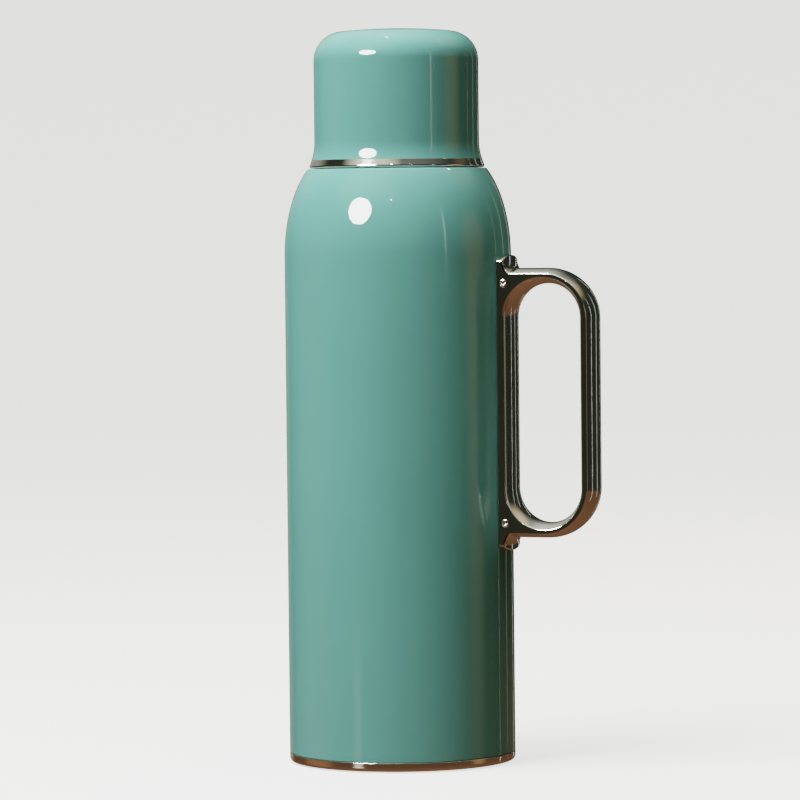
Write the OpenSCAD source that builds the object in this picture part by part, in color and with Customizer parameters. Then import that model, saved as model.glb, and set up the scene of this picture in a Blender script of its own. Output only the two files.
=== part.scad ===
// Vacuum flask: a double-walled steel bottle with a screw-on cup, a push-button
// pouring stopper and a bar handle. Sizes are in millimetres.
// The flask's axis is Z, the handle points along +X, and the foot pad rests on z = 0.

/* [Flask body] */
// Outer diameter of the body
body_d = 104; // [92:1:125]
// Height of the shoulder's flat ledge above the floor
body_h = 272; // [225:1:330]
// Wall of the outer shell
shell_t = 0.6; // [0.5:0.1:0.8]
// Height of the rounded shoulder
shoulder_h = 39.5; // [33:0.5:48]
// Wall of the inner bottle
bottle_t = 0.5; // [0.4:0.1:0.6]
// Vacuum space between the shell and the inner bottle
vacuum_gap = 4.4; // [3.5:0.1:5.5]
// Vacuum space between the two necks
neck_gap = 2.4; // [2:0.1:3]
// Height of the neck above the ledge
neck_h = 20; // [18:0.5:24]

/* [Base] */
// Height of the bright base ring
ring_h = 4; // [3.5:0.1:5]
// Thickness of the base ring's band
ring_t = 0.9; // [0.7:0.1:1.1]
// How far the foot pad stands below the base ring
foot_proud = 0.4; // [0.3:0.1:0.8]
// Thickness of the foot pad
foot_t = 1.6; // [1.3:0.1:2]

/* [Cup] */
// Outer diameter of the cup
cup_d = 75.6; // [64:0.2:92]
// Height of the closed cup above the ledge
cup_h = 64; // [53:0.5:78]
// Wall of the cup's painted shell
cup_shell_t = 0.6; // [0.5:0.1:0.8]
// Wall of the cup's inner liner
liner_t = 1.5; // [1.2:0.1:1.8]
// Radius of the cup's top corner
cup_corner = 13.5; // [10:0.5:16]
// How far the cup's bottom edge flares out
cup_flare = 1.4; // [1:0.1:2]
// Height of the cup's bright rim
rim_h = 3.75; // [3:0.25:4.5]

/* [Threads] */
// Rise of both threads in one full turn
thread_lead = 15; // [12:0.5:18]
// Number of thread starts
thread_starts = 3; // [3:1:3]
// Height of a thread ridge
thread_h = 1.3; // [1.1:0.1:1.5]

/* [Stopper] */
// Space between the push button and the cup's ceiling
headroom = 17; // [12:0.5:20]
// Diameter of the push button
button_d = 26; // [22:0.5:30]
// Travel of the push button
button_travel = 4; // [3:0.5:5]
// Wire diameter of the button's spring
spring_wire = 1; // [0.8:0.1:1.2]

/* [Handle] */
// Width of the handle
handle_w = 23.5; // [20:0.5:28]
// Height of the hand opening, between the handle's side edges
grip_h = 113.9; // [95:0.5:137]
// Reach of the hand opening, between the handle's side edges
grip_gap = 36.9; // [31:0.5:44]
// Thickness of the handle's flat sides
side_t = 2.3; // [2:0.1:3]
// How far the handle's inner face swells between its side edges
inner_swell = 2.7; // [2:0.1:3.2]
// How far the handle's outer face swells between its side edges
outer_swell = 2.1; // [1.6:0.1:2.6]
// Length of the tongues above and below the handle
tongue_h = 8; // [7:0.5:10]
// Diameter of the handle screws
screw_d = 2; // [1.8:0.1:2.4]

/* [Hidden] */
$fn = 96;
ARC = 20;          // steps in a profile's arc
FINE = 0.05;       // clearance of pieces that are pressed or glued together
FIT = 0.1;         // clearance of pieces that are assembled by hand
LOOSE = 0.3;       // clearance of pieces that move past each other
OVER = 1;          // how far a cutter runs past what it cuts

// Outer shell
body_r = body_d / 2;
ring_top = foot_proud + ring_h;
seam = 0.25;                                   // gap between paint and base ring
necked_r = body_r - ring_t - FINE;             // the shell steps in behind the base ring
shell_foot = 2.2;                              // the shell's lower edge
edge_r = 1;                                    // radius of the ledge's outer edge
shoulder_share = 0.82;                         // part of the shoulder ellipse's height that is used
shoulder_cos = sqrt(1 - pow(shoulder_share, 2));
cup_r = cup_d / 2;
rim_r = cup_r + 2 * cup_flare - FIT;           // widest radius of the cup's bright rim
ledge_r = rim_r + 0.9;                         // radius at which the shoulder's curve ends
shoulder_a = (body_r - ledge_r) / (1 - shoulder_cos);
shoulder_b = shoulder_h / shoulder_share;
edge_slope = atan2(shoulder_a * shoulder_share, shoulder_b * shoulder_cos);
shoulder_top = body_h - edge_r + edge_r * sin(edge_slope);
shoulder_foot = shoulder_top - shoulder_h;

// Cup, worked inwards from its painted shell
cup_top = body_h + cup_h;
rim_gap = 0.35;                                // gap between the ledge and the cup's rim
rim_foot = body_h + rim_gap;
rim_top = rim_foot + rim_h;
rim_edge_r = cup_r + cup_flare;                // radius where the rim meets the painted shell
flare_h = 8.4;                                 // height of the flare above the rim
spigot_t = 0.6;                                // wall of the rim's spigot
liner_or = cup_r - cup_shell_t - spigot_t - 2 * FINE;
liner_r = liner_or - liner_t;
liner_gap = 0.3;                               // gap between the shell's and the liner's tops
cup_ceiling = cup_top - cup_shell_t - liner_gap - liner_t;
crown = 1.1;                                   // rise of the cup's slightly domed top

// Collar and neck, worked inwards from the cup's liner
thread_gap = 0.7;                              // radial gap over a thread's crest
collar_crest = liner_r - thread_gap;
collar_r = collar_crest - thread_h;
collar_t = 3.4;
neck_or = collar_r - collar_t - FIT;
neck_ir = neck_or - shell_t;
mouth_r = neck_ir - neck_gap - bottle_t;
throat_r = mouth_r - 2.4;                      // the narrower throat under the seal's seat
lip_z = body_h + neck_h;
washer_t = 0.8;
pitch = thread_lead / thread_starts;
ridge_base = 2.6;
ridge_crest = 1.6;

// Inner bottle
bottle_r = body_r - shell_t - vacuum_gap;
plate_z = 8;                                   // underside of the shell's base plate
bottle_foot = plate_z + shell_t + vacuum_gap + 1;
bottle_corner = 10;
throat_fillet = 1.5;
bottle_top = body_h - shell_t - vacuum_gap;
seat_top = body_h;                             // top of the seal's conical seat
seat_h = 2;

// Stopper
stopper_crest = mouth_r - 0.5;
stopper_r = stopper_crest - thread_h;
neck_crest = mouth_r - thread_h + 0.1;
seal_top = seat_top + 0.9;
seal_foot = seat_top - seat_h + 0.1;
nose_r = throat_r - 3.1;
nose_t = 3;
nose_foot = seat_top - 9.5;
orifice_r = 10.5;
plate_t = 2;
boss_r = 4;
boss_top = seat_top + 0.5;
spring_seat_r = 6;
stem_r = 2;
button_r = button_d / 2;
button_top = cup_ceiling - headroom;
button_proud = button_travel - 0.5;            // a full press takes the button just below its cover
button_bore = button_r + 0.25;
head_top = button_top - button_proud;
head_r = neck_or - 1.5;
head_t = 2.5;
head_foot = lip_z + LOOSE;
flange_t = 2;
cover_t = 2.4;
cover_r = head_r - head_t + 0.8;
sleeve_t = 1.8;
sleeve_h = button_travel + 5;                  // the sleeve still guides the pressed button
groove_top = head_top - 4;                     // groove for the button's seal
groove_h = 1.5;
groove_t = 1;
valve_r = 13.4;
valve_gap = 0.1;
valve_seal_t = 1.8;
valve_top = nose_foot - valve_gap;
valve_disc_t = 2.2;
button_floor = head_top - 7;                   // where the spring meets the button
spring_r = 5;
spring_turns = 7;

// Handle. "reach" is the distance from the flask's axis.
saddle_r = body_r + 0.15;
opening_top = shoulder_foot - tongue_h - side_t;
opening_foot = opening_top - grip_h;
opening_z = (opening_top + opening_foot) / 2;
bend_r = grip_gap / 2;
back_reach = body_r + 1.9;                     // side edge of the bar beside the shell
bend_reach = back_reach + bend_r;
arm_top = opening_top + side_t;
handle_top = arm_top + tongue_h;
tongue_r = norm([back_reach, handle_w / 2]);   // the tongues' outer faces follow the shell
cove_w = 3.4;                                  // the cove between a tongue and its arm
cove_h = tongue_h - 2.2;
tip_h = 2.8;                                   // rise of a tongue's arched tip
screw_reach = body_r + 2.2;
screw_drop = 12.75;                            // from a tongue's tip to its screw
screw_head_r = 1.9 * screw_d / 2;
screw_head_h = 1.2;
screw_l = 17;
bracket_t = 0.8;
bracket_w = 14;
bracket_h = 15;
tab_w = 6;
tab_h = 8;
tab_reach = screw_reach + 2.6;

// Points of an elliptical arc about c, with semi-axes a and b, from angle t0 to t1.
function arc(c, a, b, t0, t1) =
    [for (i = [0 : ARC]) let (t = t0 + (t1 - t0) * i / ARC) c + [a * cos(t), b * sin(t)]];

// A ring of rectangular section.
module ring(r_in, r_out, z0, z1) {
    rotate_extrude() translate([r_in, z0]) square([r_out - r_in, z1 - z0]);
}

// Ridges of a thread with the common lead. side is 1 for an outside thread and -1 for an inside
// one, root is the radius of the wall, and foot is the height of the helix where it crosses +X.
// Each ridge starts phase degrees along its helix and wraps the given angle.
module thread_ridges(root, crest, foot, wrap, phase, side, sink = 0.2) {
    steps = ceil(wrap / 5);
    for (k = [0 : thread_starts - 1]) {
        points = [for (i = [0 : steps])
            let (turn = phase + 360 * k / thread_starts + wrap * i / steps,
                 z = foot + thread_lead * (phase + wrap * i / steps) / 360,
                 fade = min(1, 0.25 + 3 * min(i, steps - i) / steps),
                 tip = root + (crest - root) * fade,
                 base = root - side * sink)
            each [
                [base * cos(turn), base * sin(turn), z - ridge_base / 2],
                [tip * cos(turn), tip * sin(turn), z - ridge_crest / 2],
                [tip * cos(turn), tip * sin(turn), z + ridge_crest / 2],
                [base * cos(turn), base * sin(turn), z + ridge_base / 2]
            ]];
        skin = [for (i = [0 : steps - 1], j = [0 : 3])
            let (a = 4 * i + j, b = 4 * i + (j + 1) % 4)
            each [[a, b, b + 4], [a, b + 4, a + 4]]];
        ends = [[0, 3, 2], [0, 2, 1],
            [4 * steps, 4 * steps + 1, 4 * steps + 2], [4 * steps, 4 * steps + 2, 4 * steps + 3]];
        faces = concat(skin, ends);
        polyhedron(points, side < 0 ? [for (f = faces) [f[2], f[1], f[0]]] : faces);
    }
}

// ---- Flask body -------------------------------------------------------------------------

// The painted shell: body, shoulder, ledge and outer neck, open at the bottom.
module outer_shell() {
    centre = [body_r - shoulder_a, shoulder_foot];
    edge = [ledge_r - edge_r * cos(edge_slope), body_h - edge_r];
    end = asin(shoulder_share);
    t = shell_t;
    color("cadetblue") rotate_extrude() polygon(concat(
        [[necked_r, shell_foot], [necked_r, ring_top + seam / 2], [body_r - seam, ring_top + seam],
            [body_r, ring_top + 2 * seam]],
        arc(centre, shoulder_a, shoulder_b, 0, end),
        arc(edge, edge_r, edge_r, edge_slope, 90),
        arc([neck_or + edge_r, body_h + edge_r], edge_r, edge_r, 270, 180),
        [[neck_or, lip_z - bottle_t], [neck_ir, lip_z - bottle_t]],
        arc([neck_or + edge_r, body_h + edge_r], edge_r + t, edge_r + t, 180, 270),
        arc(edge, edge_r - t, edge_r - t, 90, edge_slope),
        arc(centre, shoulder_a - t, shoulder_b - t, end, 0),
        [[body_r - t, ring_top + 2 * seam + ring_t], [necked_r - t, ring_top],
            [necked_r - t, shell_foot]]
    ));
}

// The steel bottle that holds the drink, with the stopper's thread rolled into its neck.
module inner_bottle() {
    t = bottle_t;
    throat = throat_r + throat_fillet + t;
    a = bottle_r - throat;
    b = bottle_top - shoulder_foot;
    corner = [bottle_r - bottle_corner, bottle_foot + bottle_corner];
    color("silver") union() {
        rotate_extrude() polygon(concat(
            [[0, bottle_foot]],
            arc(corner, bottle_corner, bottle_corner, 270, 360),
            arc([throat, shoulder_foot], a, b, 0, 90),
            arc([throat, bottle_top + throat_fillet], throat_fillet, throat_fillet, 270, 180),
            [[throat_r + t, seat_top - seat_h + t / 2], [mouth_r + t, seat_top + t / 2],
                [mouth_r + t, lip_z - t], [neck_or, lip_z - t], [neck_or, lip_z],
                [mouth_r, lip_z], [mouth_r, seat_top], [throat_r, seat_top - seat_h]],
            arc([throat, bottle_top + throat_fillet], throat_fillet + t, throat_fillet + t, 180, 270),
            arc([throat, shoulder_foot], a - t, b - t, 90, 0),
            arc(corner, bottle_corner - t, bottle_corner - t, 360, 270),
            [[0, bottle_foot + t]]
        ));
        thread_ridges(mouth_r, neck_crest, body_h + 6, 150, 0, -1);
    }
}

// A metal foil wrapped round the inner bottle, which reflects radiant heat.
module radiation_foil() {
    foil_t = 0.2;
    r = bottle_r + FIT;
    color("gainsboro") ring(r, r + foil_t, bottle_foot + bottle_corner, shoulder_foot);
}

// The getter that keeps the vacuum, in its clip under the inner bottle.
module getter() {
    color("dimgray") {
        translate([0, 0, bottle_foot - 0.4]) cylinder(r = 9, h = 0.4);
        translate([0, 0, bottle_foot - 2.4]) cylinder(r = 5, h = 2);
    }
}

// The pressed plate that closes the outer shell, with the hole the air was drawn out through.
module base_plate() {
    r = necked_r - shell_t - FINE;
    color("silver") difference() {
        union() {
            translate([0, 0, plate_z]) cylinder(r = r, h = shell_t);
            ring(r - shell_t, r, shell_foot, plate_z);
            translate([0, 0, plate_z - 1.4]) cylinder(r = 7, h = 1.4);
        }
        translate([0, 0, plate_z - 1.4 - OVER]) cylinder(r = 4, h = 0.8 + OVER);
        translate([0, 0, plate_z - OVER]) cylinder(r = 1, h = shell_t + 2 * OVER);
    }
}

// The braze pellet that seals the evacuation hole.
module vacuum_seal() {
    color("gray") translate([0, 0, plate_z - 1.4]) cylinder(r = 4 - FINE, h = 0.8 - FINE);
}

// The bright band under the painted shell, with an inward lip that holds the base cover.
module base_ring() {
    corner = 2;
    lip_t = 0.8;
    r_in = necked_r + FINE;
    color("silver") rotate_extrude() polygon(concat(
        [[body_r - 6, foot_proud], [body_r - corner, foot_proud]],
        arc([body_r - corner, foot_proud + corner], corner, corner, 270, 360),
        [[body_r, ring_top - 0.15], [body_r - 0.15, ring_top], [r_in, ring_top],
            [r_in, foot_proud + lip_t + 0.4], [r_in - 0.4, foot_proud + lip_t],
            [body_r - 6, foot_proud + lip_t]]
    ));
}

// The plastic disc that closes the base above the ring's lip.
module base_cover() {
    lip = foot_proud + 0.8 + FINE;
    color("dimgray") difference() {
        union() {
            translate([0, 0, lip]) cylinder(r = body_r - 3.5, h = 1);
            translate([0, 0, foot_proud]) cylinder(r = body_r - 6 - FIT, h = lip - foot_proud + 0.5);
        }
        translate([0, 0, -OVER]) cylinder(r = body_r - 8, h = foot_t + FINE - 0.6 + OVER);
    }
}

// The soft pad the flask stands on, with two rings of grooves.
module foot_pad() {
    groove = 0.5;
    color("gray") difference() {
        cylinder(r = body_r - 8 - FIT, h = foot_t - 0.6);
        for (r = [body_r - 14, body_r - 22]) ring(r - 1, r + 1, -OVER, groove);
    }
}

// The threaded collar round the neck, which the cup screws on to.
module neck_collar() {
    foot = body_h + washer_t;
    flange = collar_crest + 1.3;
    top = lip_z - 3;
    color("dimgray") union() {
        rotate_extrude() polygon([
            [neck_or + FIT, foot + edge_r], [neck_or + FIT + edge_r, foot], [flange, foot],
            [flange, foot + 1.4], [flange - 0.4, foot + 1.8], [collar_r, foot + 1.8],
            [collar_r, top - 0.8], [collar_r - 0.8, top], [neck_or + FIT, top]]);
        thread_ridges(collar_r, collar_crest, body_h + 6.2, 150, 0, 1);
    }
}

// The silicone washer between the collar and the shoulder's ledge.
module collar_washer() {
    color("whitesmoke") ring(neck_or + edge_r + FIT, collar_crest, body_h, body_h + washer_t);
}

// ---- Handle -----------------------------------------------------------------------------

// A lens of the handle's width: the swell of one face, standing on the x axis.
module swell(rise) {
    half = handle_w / 2;
    r = (half * half + rise * rise) / (2 * rise);
    intersection() {
        translate([0, rise - r]) circle(r);
        translate([-half, 0]) square([handle_w, rise + OVER]);
    }
}

// The handle bar's section: y runs from the opening outwards, and 0 is the opening's side edge.
module bar_section() {
    translate([-handle_w / 2, 0]) square([handle_w, side_t]);
    mirror([0, 1]) swell(inner_swell);
    translate([0, side_t]) swell(outer_swell);
}

// Half of the closed loop, above the middle of the opening: two bars and a round bend.
module half_loop() {
    straight = opening_top - bend_r - opening_z;
    translate([bend_reach, 0, opening_z]) {
        for (side = [0, 180]) rotate([0, 0, side - 90]) translate([0, bend_r, 0])
            linear_extrude(straight) bar_section();
        translate([0, 0, straight]) rotate([90, 0, 0])
            rotate_extrude(angle = 180) translate([bend_r, 0]) rotate([0, 0, -90]) bar_section();
    }
}

// The web that joins the upper arm to the shell, with the tongue that stands above it.
module upper_web() {
    half = handle_w / 2;
    bend_z = opening_top - bend_r;
    root = body_r - 4;
    difference() {
        union() {
            translate([root, 0, bend_z]) rotate([90, 0, 90]) linear_extrude(bend_reach - root) {
                translate([-half, 0]) square([handle_w, arm_top - bend_z]);
                translate([0, arm_top - bend_z]) swell(outer_swell);
            }
            intersection() {
                rotate_extrude() polygon(concat(
                    [[root, arm_top - OVER], [root, handle_top], [tongue_r, handle_top]],
                    arc([tongue_r + cove_w, arm_top + cove_h], cove_w, cove_h, 180, 270),
                    [[tongue_r + cove_w, arm_top - OVER]]));
                translate([root - cove_w, 0, 0]) rotate([90, 0, 90]) linear_extrude(4 * cove_w)
                    polygon(concat([[-half, bend_z]],
                        arc([0, handle_top - tip_h], half, tip_h, 180, 0), [[half, bend_z]]));
            }
        }
        translate([bend_reach, handle_w, bend_z]) rotate([90, 0, 0])
            cylinder(r = bend_r + side_t / 2, h = 2 * handle_w);
    }
}

// What the bracket, its tab and the screw take out of the handle's upper end.
module upper_pocket() {
    z = handle_top - screw_drop;
    half = handle_w / 2;
    translate([0, 0, z - bracket_h / 2 - LOOSE]) intersection() {
        cylinder(r = body_r + bracket_t + LOOSE, h = bracket_h + 2 * LOOSE);
        translate([0, -bracket_w / 2 - LOOSE, 0])
            cube([body_d, bracket_w + 2 * LOOSE, bracket_h + 2 * LOOSE]);
    }
    translate([body_r - 4, -tab_w / 2 - FIT, z - tab_h / 2 - FIT])
        cube([tab_reach + FIT - body_r + 4, tab_w + 2 * FIT, tab_h + 2 * FIT]);
    translate([screw_reach, 0, z]) rotate([90, 0, 0]) {
        translate([0, 0, -screw_l + half]) cylinder(r = screw_d / 2 + FIT, h = screw_l);
        translate([0, 0, half - screw_head_h - FIT]) cylinder(r = screw_head_r + 0.15, h = 4);
    }
}

// The cast handle: a closed loop with a web and a tongue at each end of its back bar.
module handle() {
    color("silver") difference() {
        for (m = [0, 1]) translate([0, 0, opening_z]) mirror([0, 0, m])
            translate([0, 0, -opening_z]) {
                half_loop();
                upper_web();
            }
        translate([0, 0, opening_z - grip_h]) cylinder(r = saddle_r, h = 2 * grip_h);
        for (m = [0, 1]) translate([0, 0, opening_z]) mirror([0, 0, m])
            translate([0, 0, -opening_z]) upper_pocket();
    }
}

// A steel bracket welded to the shell, with the tapped tab that the handle is screwed to.
module bracket(z) {
    translate([0, 0, z]) difference() {
        union() {
            intersection() {
                translate([0, 0, -bracket_h / 2]) cylinder(r = body_r + bracket_t, h = bracket_h);
                translate([0, -bracket_w / 2, -bracket_h / 2])
                    cube([body_d, bracket_w, bracket_h]);
            }
            translate([body_r - 2, -tab_w / 2, -tab_h / 2])
                cube([tab_reach - body_r + 2, tab_w, tab_h]);
        }
        translate([0, 0, -bracket_h]) cylinder(r = body_r, h = 2 * bracket_h);
        translate([screw_reach, tab_w, 0]) rotate([90, 0, 0])
            cylinder(r = screw_d / 2 + 0.02, h = 2 * tab_w);
    }
}

module upper_bracket() { color("gainsboro") bracket(handle_top - screw_drop); }

module lower_bracket() { color("gainsboro") bracket(2 * opening_z - handle_top + screw_drop); }

// A cross-recess screw through the handle's near side into a bracket's tab.
module screw(z) {
    translate([screw_reach, -handle_w / 2, z]) rotate([-90, 0, 0]) difference() {
        union() {
            cylinder(r = screw_head_r, h = screw_head_h);
            translate([0, 0, screw_head_h]) cylinder(r = screw_d / 2, h = screw_l - 2 * screw_head_h);
        }
        for (turn = [0, 90]) rotate([0, 0, turn]) translate([-1.1, -0.25, -OVER])
            cube([2.2, 0.5, 0.7 + OVER]);
    }
}

module upper_screw() { color("silver") screw(handle_top - screw_drop); }

module lower_screw() { color("silver") screw(2 * opening_z - handle_top + screw_drop); }

// ---- Stopper ----------------------------------------------------------------------------

// The plug: nose with its pouring orifice, threaded barrel, flange, ribbed head and spout.
module stopper_body() {
    ribs = 24;
    spout_w = 18;
    barrel_r = stopper_r - 2.7;
    cheek = head_r - head_t;
    color("dimgray") union() {
        difference() {
            union() {
                rotate_extrude() polygon([
                    [nose_r, nose_foot], [nose_r, seal_top + FINE], [stopper_r, seal_top + FINE],
                    [stopper_r, head_foot], [neck_or, head_foot], [neck_or, head_foot + flange_t],
                    [head_r, head_foot + flange_t], [head_r, head_top - 0.6],
                    [head_r - 0.6, head_top], [cover_r + FINE, head_top],
                    [cover_r + FINE, head_top - cover_t], [cheek, head_top - cover_t],
                    [cheek, head_foot + flange_t], [barrel_r, head_foot],
                    [barrel_r, seal_top + 4], [nose_r - nose_t, seal_top + 2],
                    [nose_r - nose_t, nose_foot + plate_t], [orifice_r, nose_foot + plate_t],
                    [orifice_r, nose_foot]]);
                for (i = [0 : ribs - 1]) rotate([0, 0, (i + 0.5) * 360 / ribs])
                    translate([head_r, 0, head_foot + flange_t - 0.5])
                        cylinder(r = 0.8, h = head_top - head_foot - flange_t - 0.7);
            }
            translate([-head_r - 3, -spout_w / 2, head_foot + flange_t])
                cube([head_t + 5, spout_w, 9]);
            translate([head_r - head_t - 2, -3, head_foot + flange_t]) cube([head_t + 5, 6, 5]);
        }
        thread_ridges(stopper_r, stopper_crest, body_h + 6 + pitch / 2, 150, 0, 1);
        difference() {
            union() {
                translate([0, 0, nose_foot + 1]) cylinder(r = boss_r, h = boss_top - nose_foot - 1);
                translate([0, 0, boss_top - 2]) cylinder(r = spring_seat_r, h = 2);
                for (turn = [0, 120, 240]) rotate([0, 0, turn]) translate([0, -1.2, nose_foot + 1])
                    cube([orifice_r + 2, 2.4, 4]);
            }
            translate([0, 0, nose_foot - OVER]) cylinder(r = stem_r + 0.2, h = 30);
        }
    }
}

// The lid of the stopper's head, with the sleeve the button slides in.
module stopper_cover() {
    z = head_top - cover_t + FINE;
    color("dimgray") difference() {
        union() {
            translate([0, 0, z]) cylinder(r = cover_r, h = cover_t - FINE);
            translate([0, 0, head_top - sleeve_h]) cylinder(r = button_bore + sleeve_t, h = sleeve_h);
        }
        translate([0, 0, head_top - sleeve_h - OVER]) cylinder(r = button_bore, h = sleeve_h + 2 * OVER);
        ring(button_bore - OVER, button_bore + groove_t, groove_top - groove_h, groove_top);
    }
}

// The silicone ring that seals the stopper on the neck's conical seat.
module stopper_seal() {
    outer = stopper_r + 0.2;
    slope = seat_h / (mouth_r - throat_r);
    corner = seal_foot + (outer - throat_r) * slope;
    color("whitesmoke") rotate_extrude() polygon([
        [nose_r + FINE, seal_foot], [throat_r, seal_foot], [outer, corner], [outer, seal_top],
        [nose_r + FINE, seal_top]]);
}

// The push button, hollow below, with a socket for the valve stem.
module push_button() {
    roof = button_top - 3;
    hub_r = spring_r + 2.2;
    wall_r = button_r - 1.6;
    skirt = head_top - sleeve_h + 1;
    corner = 2;
    color("cadetblue") rotate_extrude() polygon(concat(
        [[stem_r, button_floor], [hub_r, button_floor], [hub_r, roof], [wall_r, roof - 0.4],
            [wall_r, skirt], [button_r, skirt]],
        arc([button_r - corner, button_top - corner - 0.4], corner, corner, 0, 75),
        [[0, button_top], [0, roof], [stem_r, roof]]
    ));
}

// The silicone ring between the button and its sleeve.
module button_seal() {
    color("whitesmoke") ring(button_r + FIT, button_bore + groove_t - FINE, groove_top - groove_h + FINE,
        groove_top - FINE);
}

// The compression spring under the button: a wire of eight sides wound up a helix.
module button_spring() {
    sides = 8;
    per_turn = 20;
    steps = spring_turns * per_turn;
    wire = spring_wire / 2;
    foot = boss_top + wire + FINE;
    rise = button_floor - wire - FINE - foot;
    points = [for (i = [0 : steps], j = [0 : sides - 1])
        let (turn = 360 * i / per_turn, side = 360 * j / sides,
             r = spring_r + wire * cos(side), z = foot + rise * i / steps + wire * sin(side))
        [r * cos(turn), r * sin(turn), z]];
    skin = [for (i = [0 : steps - 1], j = [0 : sides - 1])
        let (a = sides * i + j, b = sides * i + (j + 1) % sides)
        each [[a, b + sides, b], [a, a + sides, b + sides]]];
    ends = [[for (j = [0 : sides - 1]) j], [for (j = [sides - 1 : -1 : 0]) sides * steps + j]];
    color("silver") polyhedron(points, concat(skin, ends));
}

// The steel rod from the button to the valve disc.
module valve_stem() {
    foot = valve_top - valve_seal_t - valve_disc_t + 1;
    color("silver") translate([0, 0, foot]) cylinder(r = stem_r, h = button_top - 3 - foot);
}

// The disc that closes the orifice from below, with a hub on the stem.
module valve_disc() {
    foot = valve_top - valve_seal_t - valve_disc_t;
    color("dimgray") difference() {
        union() {
            translate([0, 0, foot]) cylinder(r = valve_r, h = valve_disc_t);
            translate([0, 0, foot]) cylinder(r = 3.6, h = valve_disc_t + valve_seal_t);
        }
        translate([0, 0, foot + 1]) cylinder(r = stem_r, h = 10);
    }
}

// The silicone ring on the valve disc.
module valve_seal() {
    color("whitesmoke") ring(orifice_r - 1, valve_r, valve_top - valve_seal_t, valve_top);
}

// ---- Cup --------------------------------------------------------------------------------

// The painted cup, drawn from steel, flared where it meets its bright rim.
module cup_shell() {
    t = cup_shell_t;
    bend = (flare_h * flare_h + cup_flare * cup_flare) / (2 * cup_flare);
    flare_turn = asin(flare_h / bend);
    inner_turn = asin(flare_h / (bend + t));
    corner = [cup_r - cup_corner, cup_top - crown - cup_corner];
    foot = rim_top + FINE;
    color("cadetblue") rotate_extrude() polygon(concat(
        arc([cup_r + bend, foot + flare_h], bend, bend, 180 + flare_turn, 180),
        arc(corner, cup_corner, cup_corner, 0, 84),
        [[(cup_r - cup_corner) / 2, cup_top - crown / 4], [0, cup_top], [0, cup_top - t],
            [(cup_r - cup_corner) / 2, cup_top - t - crown / 4]],
        arc(corner, cup_corner - t, cup_corner - t, 84, 0),
        arc([cup_r + bend, foot + flare_h], bend + t, bend + t, 180, 180 + inner_turn)
    ));
}

// The cup's inner liner, with the thread that grips the collar.
module cup_liner() {
    outer_corner = cup_corner - cup_shell_t;
    corner = [liner_or - outer_corner, cup_ceiling + liner_t - crown - outer_corner];
    foot = rim_top + FINE;
    color("whitesmoke") union() {
        rotate_extrude() polygon(concat(
            [[liner_r + 0.4, foot], [liner_or, foot]],
            arc(corner, outer_corner, outer_corner, 0, 84),
            [[0, cup_ceiling + liner_t], [0, cup_ceiling]],
            arc(corner, outer_corner - liner_t, outer_corner - liner_t, 84, 0),
            [[liner_r, foot + 0.4]]
        ));
        thread_ridges(liner_r, collar_r + 0.5, body_h + 6.2 + pitch / 2, 75, 30, -1);
    }
}

// The bright rim the cup is drunk from, with a spigot held between shell and liner.
module cup_rim() {
    bead = 0.8;
    slope = atan2(rim_r - rim_edge_r, rim_h - bead);
    centre = [rim_r - bead, rim_foot + bead];
    inner = collar_crest + 1.3 + LOOSE;
    spigot_h = 4;
    color("silver") rotate_extrude() polygon(concat(
        [[inner, rim_foot + 0.5], [inner + 0.5, rim_foot]],
        arc(centre, bead, bead, 270, 360 + slope),
        [[rim_edge_r, rim_top], [liner_or + FINE + spigot_t, rim_top],
            [liner_or + FINE + spigot_t, rim_top + spigot_h], [liner_or + FINE, rim_top + spigot_h],
            [liner_or + FINE, rim_top], [inner, rim_top]]
    ));
}

outer_shell();
inner_bottle();
radiation_foil();
getter();
base_plate();
vacuum_seal();
base_ring();
base_cover();
foot_pad();
neck_collar();
collar_washer();
handle();
upper_bracket();
lower_bracket();
upper_screw();
lower_screw();
stopper_body();
stopper_cover();
stopper_seal();
push_button();
button_seal();
button_spring();
valve_stem();
valve_disc();
valve_seal();
cup_shell();
cup_liner();
cup_rim();
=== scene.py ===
"""A vacuum flask: painted body, screw-on cup, chrome handle, pouring stopper and all that is inside.

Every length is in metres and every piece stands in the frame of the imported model, whose boxes give
the main sizes. Each sub-assembly is a class that holds its sizes and builds its own pieces.
"""

import sys
import logging
import math
from collections.abc import Sequence
from dataclasses import dataclass
from enum import Enum

import bmesh
import bpy
import numpy as np
from mathutils import Matrix, Vector


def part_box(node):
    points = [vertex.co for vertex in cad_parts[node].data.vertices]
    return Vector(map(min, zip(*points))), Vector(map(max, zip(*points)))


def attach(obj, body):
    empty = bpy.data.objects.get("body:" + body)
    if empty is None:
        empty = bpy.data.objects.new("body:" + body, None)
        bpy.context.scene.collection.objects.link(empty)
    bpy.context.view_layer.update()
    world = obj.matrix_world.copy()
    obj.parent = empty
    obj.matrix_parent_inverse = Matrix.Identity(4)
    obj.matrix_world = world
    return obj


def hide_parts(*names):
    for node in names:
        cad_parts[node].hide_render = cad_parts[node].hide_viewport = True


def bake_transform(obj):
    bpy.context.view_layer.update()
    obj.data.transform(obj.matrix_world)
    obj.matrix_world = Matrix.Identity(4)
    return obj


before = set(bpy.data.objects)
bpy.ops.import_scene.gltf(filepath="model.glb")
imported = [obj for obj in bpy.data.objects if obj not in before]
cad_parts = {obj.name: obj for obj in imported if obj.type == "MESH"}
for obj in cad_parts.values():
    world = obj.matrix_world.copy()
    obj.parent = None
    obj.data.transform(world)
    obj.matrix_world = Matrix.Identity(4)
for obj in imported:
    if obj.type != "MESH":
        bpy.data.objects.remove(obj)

Array = np.ndarray
Surface = tuple[Array, Array]
Colour = tuple[float, float, float]
Socket = bpy.types.NodeSocket

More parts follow.
